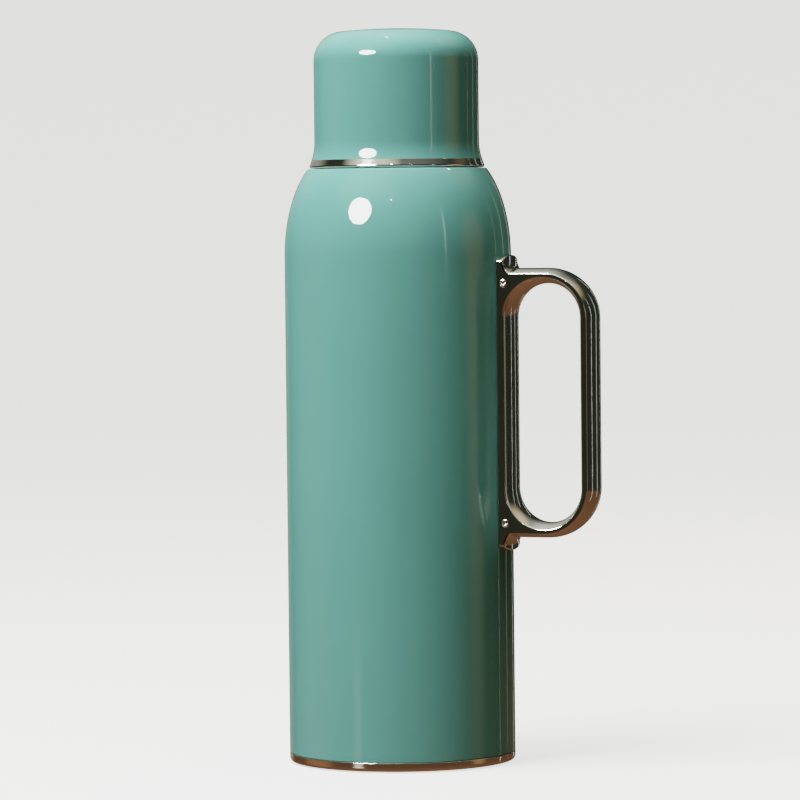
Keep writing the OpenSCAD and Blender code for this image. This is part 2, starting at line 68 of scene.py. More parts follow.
MM = 0.001
TURN = 2 * math.pi
ROUND_STEPS = 192
UP = Vector((0, 0, 1))
LEDGE = 272.0  # height in millimetres of the shoulder's ledge, which the neck's parts start from
CREASE = 40.0  # angle in degrees past which an edge is shaded sharp

log = logging.getLogger("vacuum_flask")


class Body(Enum):
    """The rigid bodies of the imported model."""

    FLASK = "flask"
    STOPPER_THREAD = "stopper_thread"
    STOPPER = "stopper"
    BUTTON = "button"
    CUP_THREAD = "cup_thread"
    CUP = "cup"


class Side(Enum):
    """Which side of a wall a thread stands on: +1 outside a shaft, -1 inside a bore."""

    OUTSIDE = 1
    INSIDE = -1


# ---- Surfaces ---------------------------------------------------------------------------


def arc(centre: Sequence[float], a: float, b: float, start: float, end: float, steps: int = 24) -> Array:
    """Points of an elliptical arc: centre + (a cos t, b sin t), with t from start to end.

    Args:
        centre: The arc's centre.
        a: Semi-axis along the first coordinate.
        b: Semi-axis along the second coordinate.
        start: First angle in degrees.
        end: Last angle in degrees.
        steps: Number of steps along the arc.

    Returns:
        An array of steps + 1 points.
    """
    t = np.radians(np.linspace(start, end, steps + 1))
    return np.stack([centre[0] + a * np.cos(t), centre[1] + b * np.sin(t)], 1)


class Outline:
    """A profile in the r-z plane, drawn corner by corner, in millimetres."""

    def __init__(self) -> None:
        """Starts an empty outline."""
        self.corners: list[tuple[float, float, float]] = []

    def to(self, r: float, z: float, fillet: float = 0.0) -> "Outline":
        """Adds a corner at (r, z), rounded with the given fillet radius."""
        self.corners.append((r, z, fillet))
        return self

    def along(self, points: Array) -> "Outline":
        """Adds the points of a curve as they are."""
        self.corners.extend((float(r), float(z), 0.0) for r, z in points)
        return self

    def points(self, closed: bool = True) -> Array:
        """Rounds every corner that has a fillet.

        A fillet of radius f in a corner of opening angle w starts f / tan(w / 2) before the corner
        and turns about a centre on the bisector, f / sin(w / 2) from the corner. A support point
        stands just before and just after it, so that smooth shading stays off the flats.

        Args:
            closed: True where the last corner joins the first one.

        Returns:
            The rounded profile in metres.
        """
        out: list[Array] = []
        raw = np.array(self.corners)
        count = len(raw)
        for i, (r, z, fillet) in enumerate(self.corners):
            p = np.array([r, z])
            ends = (i == 0 or i == count - 1) and not closed
            if fillet <= 0 or ends:
                out.append(p[None])
                continue
            to_last, to_next = raw[i - 1, :2] - p, raw[(i + 1) % count, :2] - p
            len_last, len_next = np.linalg.norm(to_last), np.linalg.norm(to_next)
            u, v = to_last / len_last, to_next / len_next
            opening = math.acos(float(np.clip(u @ v, -1, 1)))
            tangent = min(fillet / math.tan(opening / 2), 0.42 * len_last, 0.42 * len_next)
            radius = tangent * math.tan(opening / 2)
            middle = (u + v) / np.linalg.norm(u + v)
            centre = p + middle * radius / math.sin(opening / 2)
            first, last = p + u * tangent - centre, p + v * tangent - centre
            sweep = math.pi - opening
            steps = max(3, math.ceil(math.degrees(sweep) / 11))
            t = np.linspace(0, 1, steps + 1)[:, None]
            turned = (np.sin((1 - t) * sweep) * first + np.sin(t * sweep) * last) / math.sin(sweep)
            support = 0.3 * tangent
            out.extend([(p + u * (tangent + support))[None], centre + turned,
                        (p + v * (tangent + support))[None]])
        return np.concatenate(out) * MM


def grid_quads(rows: int, cols: int, wrap_rows: bool, wrap_cols: bool) -> Array:
    """Quads (i, j), (i + 1, j), (i + 1, j + 1), (i, j + 1) over a grid of points.

    Args:
        rows: Number of points down the grid.
        cols: Number of points across the grid.
        wrap_rows: True where the last row joins the first one.
        wrap_cols: True where the last column joins the first one.

    Returns:
        An array of vertex numbers, four to a face.
    """
    i, j = np.meshgrid(np.arange(rows if wrap_rows else rows - 1),
                       np.arange(cols if wrap_cols else cols - 1), indexing="ij")
    below, beside = (i + 1) % rows, (j + 1) % cols
    quads = np.stack([i * cols + j, below * cols + j, below * cols + beside, i * cols + beside], -1)
    return quads.reshape(-1, 4)


def revolve(profile: Array, closed: bool = True, steps: int = ROUND_STEPS) -> Surface:
    """Turns a profile (r, z) about the Z axis: point = (r cos t, r sin t, z).

    Args:
        profile: Points in metres. An open profile starts and ends on the axis.
        closed: True where the profile is a loop away from the axis.
        steps: Number of steps round the axis.

    Returns:
        The points and the quads of the surface.
    """
    t = np.arange(steps) * TURN / steps
    r, z = profile[:, 0], profile[:, 1]
    points = np.stack([np.outer(np.cos(t), r), np.outer(np.sin(t), r),
                       np.broadcast_to(z, (steps, len(z)))], -1)
    return points.reshape(-1, 3), grid_quads(steps, len(profile), True, closed)


def tube(path: Array, radius: float, sides: int = 12) -> Surface:
    """A round wire along a path: point = path + radius (side cos t + up sin t), closed at its ends.

    The side vector is level, square to the path, and the up vector is square to both. Each end
    closes in two shrinking rings.

    Args:
        path: Points of the wire's middle line.
        radius: Radius of the wire.
        sides: Number of points round the wire.

    Returns:
        The points and the quads of the surface.
    """
    along = np.gradient(path, axis=0)
    along /= np.linalg.norm(along, axis=1, keepdims=True)
    side = np.cross(along, [0.0, 0.0, 1.0])
    side /= np.linalg.norm(side, axis=1, keepdims=True)
    up = np.cross(side, along)
    t = np.arange(sides) * TURN / sides
    rings = np.concatenate([[0, 0], np.arange(len(path)), [len(path) - 1] * 2])
    size = np.concatenate([[0, 0.7], np.ones(len(path)), [0.7, 0]]) * radius
    lead = np.concatenate([[-0.7, -0.5], np.zeros(len(path)), [0.5, 0.7]]) * radius
    middle = path[rings] + along[rings] * lead[:, None]
    points = (middle[:, None] + size[:, None, None]
              * (side[rings][:, None] * np.cos(t)[:, None] + up[rings][:, None] * np.sin(t)[:, None]))
    return points.reshape(-1, 3), grid_quads(len(rings), sides, False, True)


def chamfered_bar(low: Sequence[float], high: Sequence[float], edge: float) -> Surface:
    """A bar along Z whose section is a rounded rectangle, with its two ends chamfered.

    The section's corners are quarter circles of radius edge. The ends step in by half the edge.

    Args:
        low: Lowest corner in millimetres.
        high: Highest corner in millimetres.
        edge: Radius of the long edges in millimetres.

    Returns:
        The points and the quads, in metres.
    """
    (x0, y0, z0), (x1, y1, z1) = low, high
    left, right, near, far = x0 + edge, x1 - edge, y0 + edge, y1 - edge
    centres = ((right, far), (left, far), (left, near), (right, near))
    section = np.concatenate([arc(centre, edge, edge, 90 * i, 90 * (i + 1), 4)
                              for i, centre in enumerate(centres)])
    middle = section.mean(0)
    step = edge / 2
    reach = 1 - step / np.abs(section - middle).max(0)
    rings = [(0.0, z0), (reach, z0), (1.0, z0 + step), (1.0, z1 - step), (reach, z1), (0.0, z1)]
    points = np.stack([np.concatenate([middle + (section - middle) * scale, np.full((len(section), 1), z)], 1)
                       for scale, z in rings])
    return points.reshape(-1, 3) * MM, grid_quads(len(rings), len(section), False, True)


def make_mesh(name: str, surfaces: Sequence[Surface], outwards: bool = True) -> bpy.types.Mesh:
    """Joins surfaces into one smooth mesh with closed seams and poles, and sharp edges at its creases.

    Args:
        name: Name of the mesh.
        surfaces: Pairs of points and faces.
        outwards: True where the faces point outwards, as on every piece of the flask.

    Returns:
        The mesh.
    """
    points, faces, offset = [], [], 0
    for part_points, part_faces in surfaces:
        points.append(part_points)
        faces.extend((part_faces + offset).tolist())
        offset += len(part_points)
    mesh = bpy.data.meshes.new(name)
    mesh.from_pydata(np.concatenate(points), [], faces)
    work = bmesh.new()
    work.from_mesh(mesh)
    bmesh.ops.remove_doubles(work, verts=work.verts, dist=1e-7)
    bmesh.ops.recalc_face_normals(work, faces=work.faces)
    if not outwards:
        bmesh.ops.reverse_faces(work, faces=work.faces)
    work.to_mesh(mesh)
    work.free()
    mesh.shade_smooth()
    mesh.set_sharp_from_angle(angle=math.radians(CREASE))
    return mesh


def place(name: str, data: bpy.types.ID) -> bpy.types.Object:
    """Puts a mesh, a lamp or a camera in the scene as a new object."""
    thing = bpy.data.objects.new(name, data)
    bpy.context.scene.collection.objects.link(thing)
    return thing


def add_piece(name: str, mesh: bpy.types.Mesh, body: Body, node: str, finish: "Finish",
              stretch: tuple[Body, Vector, Vector] | None = None) -> bpy.types.Object:
    """Puts a piece in the scene on its body, in place of the CAD node it stands for.

    Args:
        name: Name of the piece.
        mesh: Its mesh, already in place.
        body: The body it rides on.
        node: The CAD node it stands for.
        finish: The finish that dresses it.
        stretch: For a piece between two bodies, the other body, and where the piece leaves the
        first body and joins the other. Only whether it is given is read: such a piece rides on no
        body, and its place is baked into its mesh.

    Returns:
        The new object.
    """
    piece = place(name, mesh)
    mesh.materials.append(finish.material())
    if stretch is None:
        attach(piece, body.value)
    else:
        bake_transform(piece)
    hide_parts(node)
    log.info("%s: %d faces on %s", name, len(mesh.polygons), body.value)
    return piece


def turned(name: str, outline: Outline, body: Body, node: str, finish: "Finish",
           closed: bool = True, extra: Sequence[Surface] = ()) -> bpy.types.Object:
    """Adds a piece of revolution that stands for one CAD node.

    Args:
        name: Name of the piece.
        outline: Its profile.
        body: The body it rides on.
        node: The CAD node it stands for.
        finish: The finish that dresses it.
        closed: True where the profile is a loop away from the axis.
        extra: More surfaces of the same piece.

    Returns:
        The new object.
    """
    mesh = make_mesh(name, [revolve(outline.points(closed), closed), *extra])
    return add_piece(name, mesh, body, node, finish)


def cut(piece: bpy.types.Object, surface: Surface) -> None:
    """Cuts the closed surface out of a piece with an exact boolean, and applies it."""
    cutter = place("cutter", make_mesh("cutter", [surface]))
    step = piece.modifiers.new("cut", "BOOLEAN")
    step.operation = "DIFFERENCE"
    step.solver = "EXACT"
    step.object = cutter
    evaluated = piece.evaluated_get(bpy.context.evaluated_depsgraph_get())
    result = bpy.data.meshes.new_from_object(evaluated)
    piece.modifiers.clear()
    old = piece.data
    piece.data = result
    result.set_sharp_from_angle(angle=math.radians(CREASE))
    bpy.data.meshes.remove(old)
    bpy.data.objects.remove(cutter)


# ---- Finishes ---------------------------------------------------------------------------


class Nodes:
    """A short way to add nodes to the tree of a material or a world."""

    def __init__(self, tree: bpy.types.NodeTree, coordinate: str) -> None:
        """Takes the tree, and the name of the coordinate that its patterns follow."""
        self.tree = tree
        self.place = tree.nodes.new("ShaderNodeTexCoord").outputs[coordinate]

    def fill(self, node: bpy.types.Node, inputs: dict[str | int, float | Sequence[float] | Socket]) -> None:
        """Gives each input of a node its value, or a link where the value is another node's output."""
        for key, value in inputs.items():
            if isinstance(value, Socket):
                self.tree.links.new(value, node.inputs[key])
            else:
                node.inputs[key].default_value = value

    def add(self, kind: str, output: str, inputs: dict[str | int, float | Sequence[float] | Socket],
            **settings: str) -> Socket:
        """Adds a node.

        Args:
            kind: The kind of shader node.
            output: Name of the output that is used.
            inputs: Values, or other nodes' outputs, by the name or number of the input.
            **settings: The node's own options.

        Returns:
            The output.
        """
        node = self.tree.nodes.new(f"ShaderNode{kind}")
        for key, value in settings.items():
            setattr(node, key, value)
        self.fill(node, inputs)
        return node.outputs[output]

    def ramp(self, value: Socket, stops: Sequence[tuple[float, Colour]]) -> Socket:
        """A colour that runs through the stops, each a position from 0 to 1 and its colour."""
        node = self.tree.nodes.new("ShaderNodeValToRGB")
        elements = node.color_ramp.elements
        for element, (position, colour) in zip(elements, (stops[0], stops[-1])):
            element.position = position
            element.color = (*colour, 1.0)
        for position, colour in stops[1:-1]:
            elements.new(position).color = (*colour, 1.0)
        self.fill(node, {"Fac": value})
        return node.outputs["Color"]


class Graph(Nodes):
    """A material, with the patterns that the finishes are made of.

    A noise mostly stays between calm and busy, so that stretch is what a pattern is spread over.
    """

    calm = 0.3
    busy = 0.7

    def __init__(self, name: str) -> None:
        """Makes a material with a Principled shader."""
        self.material = bpy.data.materials.new(name)
        self.material.use_nodes = True
        super().__init__(self.material.node_tree, "Object")

    def set(self, **inputs: float | Sequence[float] | Socket) -> None:
        """Fills inputs of the shader, named with underscores for spaces."""
        shader = self.tree.nodes["Principled BSDF"]
        self.fill(shader, {key.replace("_", " "): value for key, value in inputs.items()})

    def noise(self, level: float, upright: float, detail: float) -> Socket:
        """Noise from 0 to 1, with so many spots in a metre on X and Y, and so many on Z."""
        scaled = self.add("Mapping", "Vector", {"Vector": self.place, "Scale": (level, level, upright)})
        return self.add("TexNoise", "Fac", {"Scale": 1.0, "Detail": detail, "Vector": scaled})

    def spread(self, noise: Socket, low: float, high: float) -> Socket:
        """A value from low to high as the noise goes from calm to busy."""
        return self.add("MapRange", "Result", {"From Min": self.calm, "From Max": self.busy, "To Min": low,
                                               "To Max": high, "Value": noise})

    def shades(self, noise: Socket, colour: Colour, low: float, high: float) -> Socket:
        """The colour times a factor from low to high as the noise goes from calm to busy."""
        return self.ramp(noise, [(place, tuple(min(1.0, channel * factor) for channel in colour))
                                 for place, factor in ((self.calm, low), (self.busy, high))])

    def bump(self, noise: Socket, height: float, under: Socket | None = None) -> Socket:
        """A bump of the given height in metres, on top of another bump where there is one."""
        inputs = {"Strength": 1.0, "Distance": height, "Height": noise}
        return self.add("Bump", "Normal", inputs if under is None else inputs | {"Normal": under})


@dataclass(frozen=True)
class Finish:
    """What every finish has: a name, the record's material slot, a colour and a roughness."""

    name: str
    slot: str
    colour: Colour
    roughness: float

    @property
    def look(self) -> str:
        """The material's name, which is never that of one of the record's plain slots."""
        return f"{self.name}_look"

    def material(self) -> bpy.types.Material:
        """The Blender material, made once."""
        return bpy.data.materials.get(self.look) or self.build()

    def build(self) -> bpy.types.Material:
        """Makes the material."""
        raise NotImplementedError


@dataclass(frozen=True)
class Enamel(Finish):
    """Baked gloss enamel: an even colour under a clear coat with the faintest orange peel."""

    cloud: float = 0.03
    peel: float = 0.000008

    def build(self) -> bpy.types.Material:
        """Mixes two close shades in soft clouds and ripples the coat."""
        g = Graph(self.look)
        peel = g.bump(g.noise(330, 330, 2), self.peel)
        g.set(Base_Color=g.shades(g.noise(22, 14, 4), self.colour, 1 - self.cloud, 1 + self.cloud),
              Roughness=g.spread(g.noise(160, 160, 3), self.roughness - 0.03, self.roughness + 0.03),
              Normal=peel, Specular_IOR_Level=0.0,
              Coat_Weight=1.0, Coat_Roughness=0.03, Coat_IOR=1.55, Coat_Normal=peel)
        return g.material


@dataclass(frozen=True)
class Chrome(Finish):
    """Bright plating, with slight waves of the casting below it and hairline wear."""

    wave: float = 0.00002
    wave_grain: float = 60.0
    hairline: float = 0.0000006

    def build(self) -> bpy.types.Material:
        """Gives the metal its waves, its faint haze and its hairlines."""
        g = Graph(self.look)
        haze = g.noise(45, 45, 3)
        wave = g.bump(g.noise(self.wave_grain, self.wave_grain, 1), self.wave)
        g.set(Metallic=1.0, Base_Color=g.shades(haze, self.colour, 0.96, 1.0),
              Roughness=g.spread(haze, self.roughness, self.roughness + 0.035),
              Normal=g.bump(g.noise(2600, 260, 2), self.hairline, wave))
        return g.material


@dataclass(frozen=True)
class DrawnSteel(Finish):
    """Drawn and brushed stainless steel, whose fine lines run round the axis."""

    line: float = 0.000004

    def build(self) -> bpy.types.Material:
        """Draws level lines, far longer than they are high."""
        g = Graph(self.look)
        line = g.noise(60, 3200, 3)
        g.set(Metallic=1.0, Base_Color=g.shades(line, self.colour, 0.9, 1.06),
              Roughness=g.spread(line, self.roughness - 0.05, self.roughness + 0.08),
              Normal=g.bump(line, self.line))
        return g.material


@dataclass(frozen=True)
class Moulded(Finish):
    """Moulded plastic or rubber with a fine spark-eroded grain and slightly uneven colour."""

    grain: float = 1400.0
    depth: float = 0.00001
    through: float = 0.0

    def build(self) -> bpy.types.Material:
        """Mottles the colour a little and roughens the surface with the mould's grain."""
        g = Graph(self.look)
        grain = g.noise(self.grain, self.grain, 3)
        g.set(IOR=1.48, Subsurface_Weight=self.through, Subsurface_Radius=(0.002, 0.002, 0.002),
              Base_Color=g.shades(g.noise(35, 35, 5), self.colour, 0.93, 1.05),
              Roughness=g.spread(grain, self.roughness - 0.06, self.roughness + 0.06),
              Normal=g.bump(grain, self.depth))
        return g.material


@dataclass(frozen=True)
class Foil(Finish):
    """Thin bright foil with soft creases, and finer ones a sixth as high."""

    crease: float = 0.0004

    def build(self) -> bpy.types.Material:
        """Crumples the foil with a broad noise and a finer one above it."""
        g = Graph(self.look)
        broad = g.bump(g.noise(70, 40, 2), self.crease)
        g.set(Metallic=1.0, Base_Color=g.shades(g.noise(90, 90, 3), self.colour, 0.85, 1.0),
              Roughness=g.spread(g.noise(300, 300, 2), self.roughness, self.roughness + 0.1),
              Normal=g.bump(g.noise(500, 300, 2), self.crease / 6, broad))
        return g.material


GREEN_ENAMEL = Enamel("green_enamel", "green_enamel", (0.185, 0.492, 0.438), 0.3)
BRIGHT_CHROME = Chrome("bright_chrome", "bright_chrome", (0.78, 0.77, 0.74), 0.045)
RING_CHROME = Chrome("ring_chrome", "bright_chrome", (0.78, 0.77, 0.74), 0.07, wave=0.00001, wave_grain=90.0)
SCREW_STEEL = Chrome("screw_steel", "steel", (0.72, 0.72, 0.70), 0.14, wave=0.000004)
STEEL = DrawnSteel("drawn_steel", "steel", (0.60, 0.60, 0.59), 0.3)
FOIL = Foil("bright_foil", "foil", (0.82, 0.82, 0.83), 0.16)
GETTER_METAL = Moulded("getter_metal", "getter_metal", (0.12, 0.12, 0.125), 0.7, grain=2600.0, depth=0.00003)
GREY_PLASTIC = Moulded("grey_plastic", "grey_plastic", (0.028, 0.031, 0.031), 0.42)
LINER_PLASTIC = Moulded("liner_plastic", "liner_plastic", (0.76, 0.76, 0.73), 0.34, depth=0.000004)
GREEN_PLASTIC = Moulded("green_plastic", "green_plastic", (0.165, 0.44, 0.38), 0.2, depth=0.000003)
SILICONE = Moulded("silicone", "silicone", (0.70, 0.71, 0.70), 0.5, grain=900.0, through=0.3)
PAD_RUBBER = Moulded("pad_rubber", "pad_rubber", (0.02, 0.02, 0.02), 0.75, grain=2200.0, depth=0.00003)


# ---- Sizes ------------------------------------------------------------------------------


def dress(node: str, finish: Finish) -> None:
    """Gives a CAD node whose shape is right its finish."""
    for slot in bpy.data.objects[node].material_slots:
        slot.material = finish.material()


def low(node: str) -> Vector:
    """The lowest corner of a CAD node, in millimetres."""
    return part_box(node)[0] / MM


def high(node: str) -> Vector:
    """The highest corner of a CAD node, in millimetres."""
    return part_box(node)[1] / MM


@dataclass
class Thread:
    """A screw thread of several starts: short ridges with sloping flanks, all with one lead."""

    root: float
    crest: float
    foot: float
    wrap: float
    side: Side
    phase: float = 0.0
    lead: float = 15.0
    starts: int = 3
    base_width: float = 2.6
    crest_width: float = 1.6
    sink: float = 0.2

    def ridges(self) -> list[Surface]:
        """The closed surface of each ridge.

        A point at turn t is (r cos t, r sin t, foot + lead t / 360 + h), where (r, h) goes round the
        ridge's section. The section is a rounded trapezoid, and it sinks into the wall at both ends
        as the square root of a ramp, so that each end tapers as a mould's run-out does.

        Returns:
            A list of points and quads for each start.
        """
        steps = max(24, int(self.wrap / 2))
        share = np.linspace(0, 1, steps + 1)
        ramp = np.sqrt(np.clip(np.minimum(share, 1 - share) * 8, 0, 1))
        section = Outline()
        tall = abs(self.crest - self.root)
        base, top = self.base_width / 2, self.crest_width / 2
        section.to(-self.sink, -base).to(0, -base, 0.3).to(tall, -top, 0.35)
        section.to(tall, top, 0.35).to(0, base, 0.3).to(-self.sink, base)
        shape = section.points() / MM
        turn = np.radians(self.phase + self.wrap * share)
        height = shape[:, 0][None] * ramp[:, None] - self.sink * 0.5 * (1 - ramp[:, None])
        r = self.root + self.side.value * height
        width = shape[:, 1][None] * (0.35 + 0.65 * ramp[:, None])
        made = []
        for start in range(self.starts):
            t = turn[:, None] + start * TURN / self.starts
            z = self.foot + self.lead * turn[:, None] / TURN + width
            points = np.stack([r * np.cos(t), r * np.sin(t), z], -1)
            ends = [points[:1].mean(1, keepdims=True).repeat(points.shape[1], 1),
                    points[-1:].mean(1, keepdims=True).repeat(points.shape[1], 1)]
            rows = np.concatenate([ends[0], points, ends[1]]) * MM
            made.append((rows.reshape(-1, 3), grid_quads(len(rows), rows.shape[1], False, True)))
        return made


# ---- The flask's body -------------------------------------------------------------------


@dataclass
class FlaskBody:
    """The shell and what is fixed to it: bottle, base, base ring and neck collar."""

    wall: float = 0.6
    shoulder_rise: float = 39.5
    shoulder_share: float = 0.82
    edge: float = 1.0
    seam: float = 0.25
    play: float = 0.05
    neck_outer: float = 29.5
    ledge_radius: float = 41.4
    ring_wall: float = 0.9
    ring_lip: float = 6.0
    ring_floor: float = 0.8
    plate: float = 8.0
    well_radius: float = 7.0
    well_depth: float = 1.4
    braze_radius: float = 4.0
    vent_radius: float = 1.0
    bottle_wall: float = 0.5
    bottle_bend: float = 10.0
    bottle_radius: float = 47.0
    bottle_top: float = 267.0
    throat_bend: float = 1.5
    throat: float = 23.6
    mouth: float = 26.0
    foil_inner: float = 0.1
    foil_outer: float = 0.3
    getter_radius: float = 5.0
    getter_flange: float = 9.0
    getter_drop: float = 2.4
    getter_sheet: float = 0.4
    cover_foot: float = 1.05
    cover_wall: float = 1.0
    pad_inset: float = 8.0
    pad_thick: float = 1.0
    groove_insets: tuple[float, float] = (22.0, 14.0)
    groove_half: float = 1.0
    groove_depth: float = 0.5
    collar_radius: float = 33.0
    collar_foot: float = 0.8
    collar_foot_out: float = 2.6
    collar_drop: float = 3.0
    collar_ridge: float = 1.3
    washer_out: float = 1.3

    def __post_init__(self) -> None:
        """Takes the main heights from the CAD nodes and works out the shoulder.

        The shoulder is the lower part of an ellipse. Its semi-axes follow from the share of its
        height that is used: where the sine of the last angle is the share, the curve has come in
        from the body's radius to the ledge's radius. The edge's slope is that of its normal there.
        """
        self.body_radius = high("outer_shell").y
        self.shell_foot = low("outer_shell").z
        self.ring_foot, self.ring_top = low("base_ring").z, high("base_ring").z
        self.bottle_foot, self.lip = low("inner_bottle").z, high("inner_bottle").z
        self.necked = self.body_radius - self.ring_wall - self.play
        cosine = math.sqrt(1 - self.shoulder_share ** 2)
        self.shoulder_a = (self.body_radius - self.ledge_radius) / (1 - cosine)
        self.shoulder_b = self.shoulder_rise / self.shoulder_share
        slope = math.atan2(self.shoulder_a * self.shoulder_share, self.shoulder_b * cosine)
        self.edge_slope = math.degrees(slope)
        self.edge_middle = (self.ledge_radius - self.edge * math.cos(slope), LEDGE - self.edge)
        self.shoulder_foot = LEDGE - self.edge + self.edge * math.sin(slope) - self.shoulder_rise

    def shoulder(self, inset: float) -> Array:
        """The shoulder's points (r, z) from the bottom up, so far inside the outer face."""
        centre = (self.body_radius - self.shoulder_a, self.shoulder_foot)
        last = math.degrees(math.asin(self.shoulder_share))
        return arc(centre, self.shoulder_a - inset, self.shoulder_b - inset, 0, last, 48)

    def build(self) -> None:
        """Builds every piece of the body."""
        self.shell()
        self.base_ring()
        self.bottle()
        self.vacuum_parts()
        self.base()
        self.collar()

    def shell(self) -> None:
        """The painted shell: base step, cylinder, shoulder, ledge and outer neck."""
        necked, seam, edge, wall = self.necked, self.ring_top + self.seam / 2, self.edge, self.wall
        neck_middle = (self.neck_outer + edge, LEDGE + edge)
        slope, top = self.edge_slope, self.lip - 0.5
        o = Outline().to(necked, self.shell_foot, 0.15).to(necked, seam, 0.1)
        o.to(self.body_radius, seam, 0.45).to(self.body_radius, self.ring_top + 6)
        o.along(self.shoulder(0)).along(arc(self.edge_middle, edge, edge, slope, 90, 12)[1:])
        o.along(arc(neck_middle, edge, edge, 270, 180, 12))
        o.to(self.neck_outer, top).to(self.neck_outer - wall, top)
        o.along(arc(neck_middle, edge + wall, edge + wall, 180, 270, 12))
        o.along(arc(self.edge_middle, edge - wall, edge - wall, 90, slope, 12))
        o.along(self.shoulder(wall)[::-1]).to(self.body_radius - wall, self.ring_top + 1.2, 0.5)
        o.to(necked - wall, self.ring_top, 0.5).to(necked - wall, self.shell_foot)
        mesh = make_mesh("painted_shell", [revolve(o.points())])
        add_piece("painted_shell", mesh, Body.FLASK, "outer_shell", GREEN_ENAMEL)
        self.leave_bare(mesh)

    def leave_bare(self, mesh: bpy.types.Mesh) -> None:
        """Leaves the steel unpainted on the neck and on the shell's inside.

        A face is bare where its middle stands above the ledge's fillet, or where its normal n points
        to the axis, so that x n_x + y n_y is less than -0.2 times its distance from the axis.
        """
        mesh.materials.append(STEEL.material())
        count = len(mesh.polygons)
        middle, normal = np.empty(count * 3), np.empty(count * 3)
        mesh.polygons.foreach_get("center", middle)
        mesh.polygons.foreach_get("normal", normal)
        middle, normal = middle.reshape(-1, 3), normal.reshape(-1, 3)
        inside = (middle[:, :2] * normal[:, :2]).sum(1) < -0.2 * np.hypot(middle[:, 0], middle[:, 1])
        neck = middle[:, 2] > (LEDGE + self.edge) * MM
        mesh.polygons.foreach_set("material_index", (inside | neck).astype(np.int32))

    def base_ring(self) -> None:
        """The bright band at the foot, with a large outer corner and an inward lip."""
        inner, lip = self.body_radius - self.ring_wall, self.body_radius - self.ring_lip
        lip_top = self.ring_foot + self.ring_floor
        o = Outline().to(lip, self.ring_foot, 0.2).to(self.body_radius, self.ring_foot, 2.0)
        o.to(self.body_radius, self.ring_top, 0.22).to(inner, self.ring_top, 0.15)
        o.to(inner, lip_top, 0.4).to(lip, lip_top, 0.2)
        turned("base_band", o, Body.FLASK, "base_ring", RING_CHROME)

    def bottle(self) -> None:
        """The drawn bottle: flat bottom, wall, dome, throat, conical seat, threaded neck and lip."""
        t, r, foot, bend = self.bottle_wall, self.bottle_radius, self.bottle_foot, self.bottle_bend
        corner = (r - bend, foot + bend)
        throat = self.throat + self.throat_bend + t
        dome_foot, dome_top, seat, lip = self.shoulder_foot, self.bottle_top, LEDGE, self.lip
        turn = (throat, dome_top + self.throat_bend)
        o = Outline().to(0, foot).along(arc(corner, bend, bend, 270, 360))
        o.along(arc((throat, dome_foot), r - throat, dome_top - dome_foot, 0, 90, 40))
        o.along(arc(turn, self.throat_bend, self.throat_bend, 270, 180, 8)[1:])
        o.to(self.throat + t, seat - 1.75, 0.3).to(self.mouth + t, seat + 0.25, 0.4)
        o.to(self.mouth + t, lip - t, 0.3).to(self.neck_outer, lip - t).to(self.neck_outer, lip, 0.25)
        o.to(self.mouth, lip, 0.6).to(self.mouth, seat, 0.4).to(self.throat, seat - 2, 0.4)
        o.along(arc(turn, self.throat_bend + t, self.throat_bend + t, 180, 270, 8))
        o.along(arc((throat, dome_foot), r - throat - t, dome_top - dome_foot - t, 90, 0, 40)[1:])
        o.along(arc(corner, bend - t, bend - t, 360, 270)).to(0, foot + t)
        thread = Thread(self.mouth, self.mouth - 1.2, LEDGE + 6, 150, Side.INSIDE)
        turned("drawn_bottle", o, Body.FLASK, "inner_bottle", STEEL, False, thread.ridges())

    def vacuum_parts(self) -> None:
        """What keeps the heat and the vacuum: foil, getter, base plate and its braze."""
        r, foot, plate = self.bottle_radius, self.bottle_foot, self.plate
        inner, outer, bottom = r + self.foil_inner, r + self.foil_outer, foot + self.bottle_bend
        o = Outline().to(inner, bottom).to(inner, self.shoulder_foot)
        o.to(outer, self.shoulder_foot, 0.08).to(outer, bottom, 0.08)
        turned("heat_foil", o, Body.FLASK, "radiation_foil", FOIL)
        inner, outer, sheet = self.getter_radius, self.getter_flange, foot - self.getter_sheet
        o = Outline().to(0, foot - self.getter_drop).to(inner, foot - self.getter_drop, 0.5)
        o.to(inner, sheet, 0.3).to(outer, sheet, 0.15).to(outer, foot, 0.1).to(0, foot)
        turned("getter_clip", o, Body.FLASK, "getter", GETTER_METAL, False)
        wall, well, out = self.wall, plate - self.well_depth, self.necked - self.wall - self.play
        sunk = plate - wall
        o = Outline().to(self.vent_radius, plate + wall).to(out, plate + wall, 0.9)
        o.to(out, self.shell_foot, 0.12).to(out - wall, self.shell_foot, 0.12).to(out - wall, plate, 0.6)
        o.to(self.well_radius, plate, 0.4).to(self.well_radius, well, 0.4)
        o.to(self.braze_radius, well, 0.15).to(self.braze_radius, sunk, 0.15).to(self.vent_radius, sunk, 0.1)
        turned("pressed_plate", o, Body.FLASK, "base_plate", STEEL)
        pellet = self.braze_radius - self.play
        o = Outline().to(0, well).along(arc((0, well + 0.4), pellet, 0.4, 270, 350, 8)[1:])
        o.to(pellet, sunk - self.play, 0.1).to(0, sunk - self.play)
        turned("braze_pellet", o, Body.FLASK, "vacuum_seal", STEEL, False)

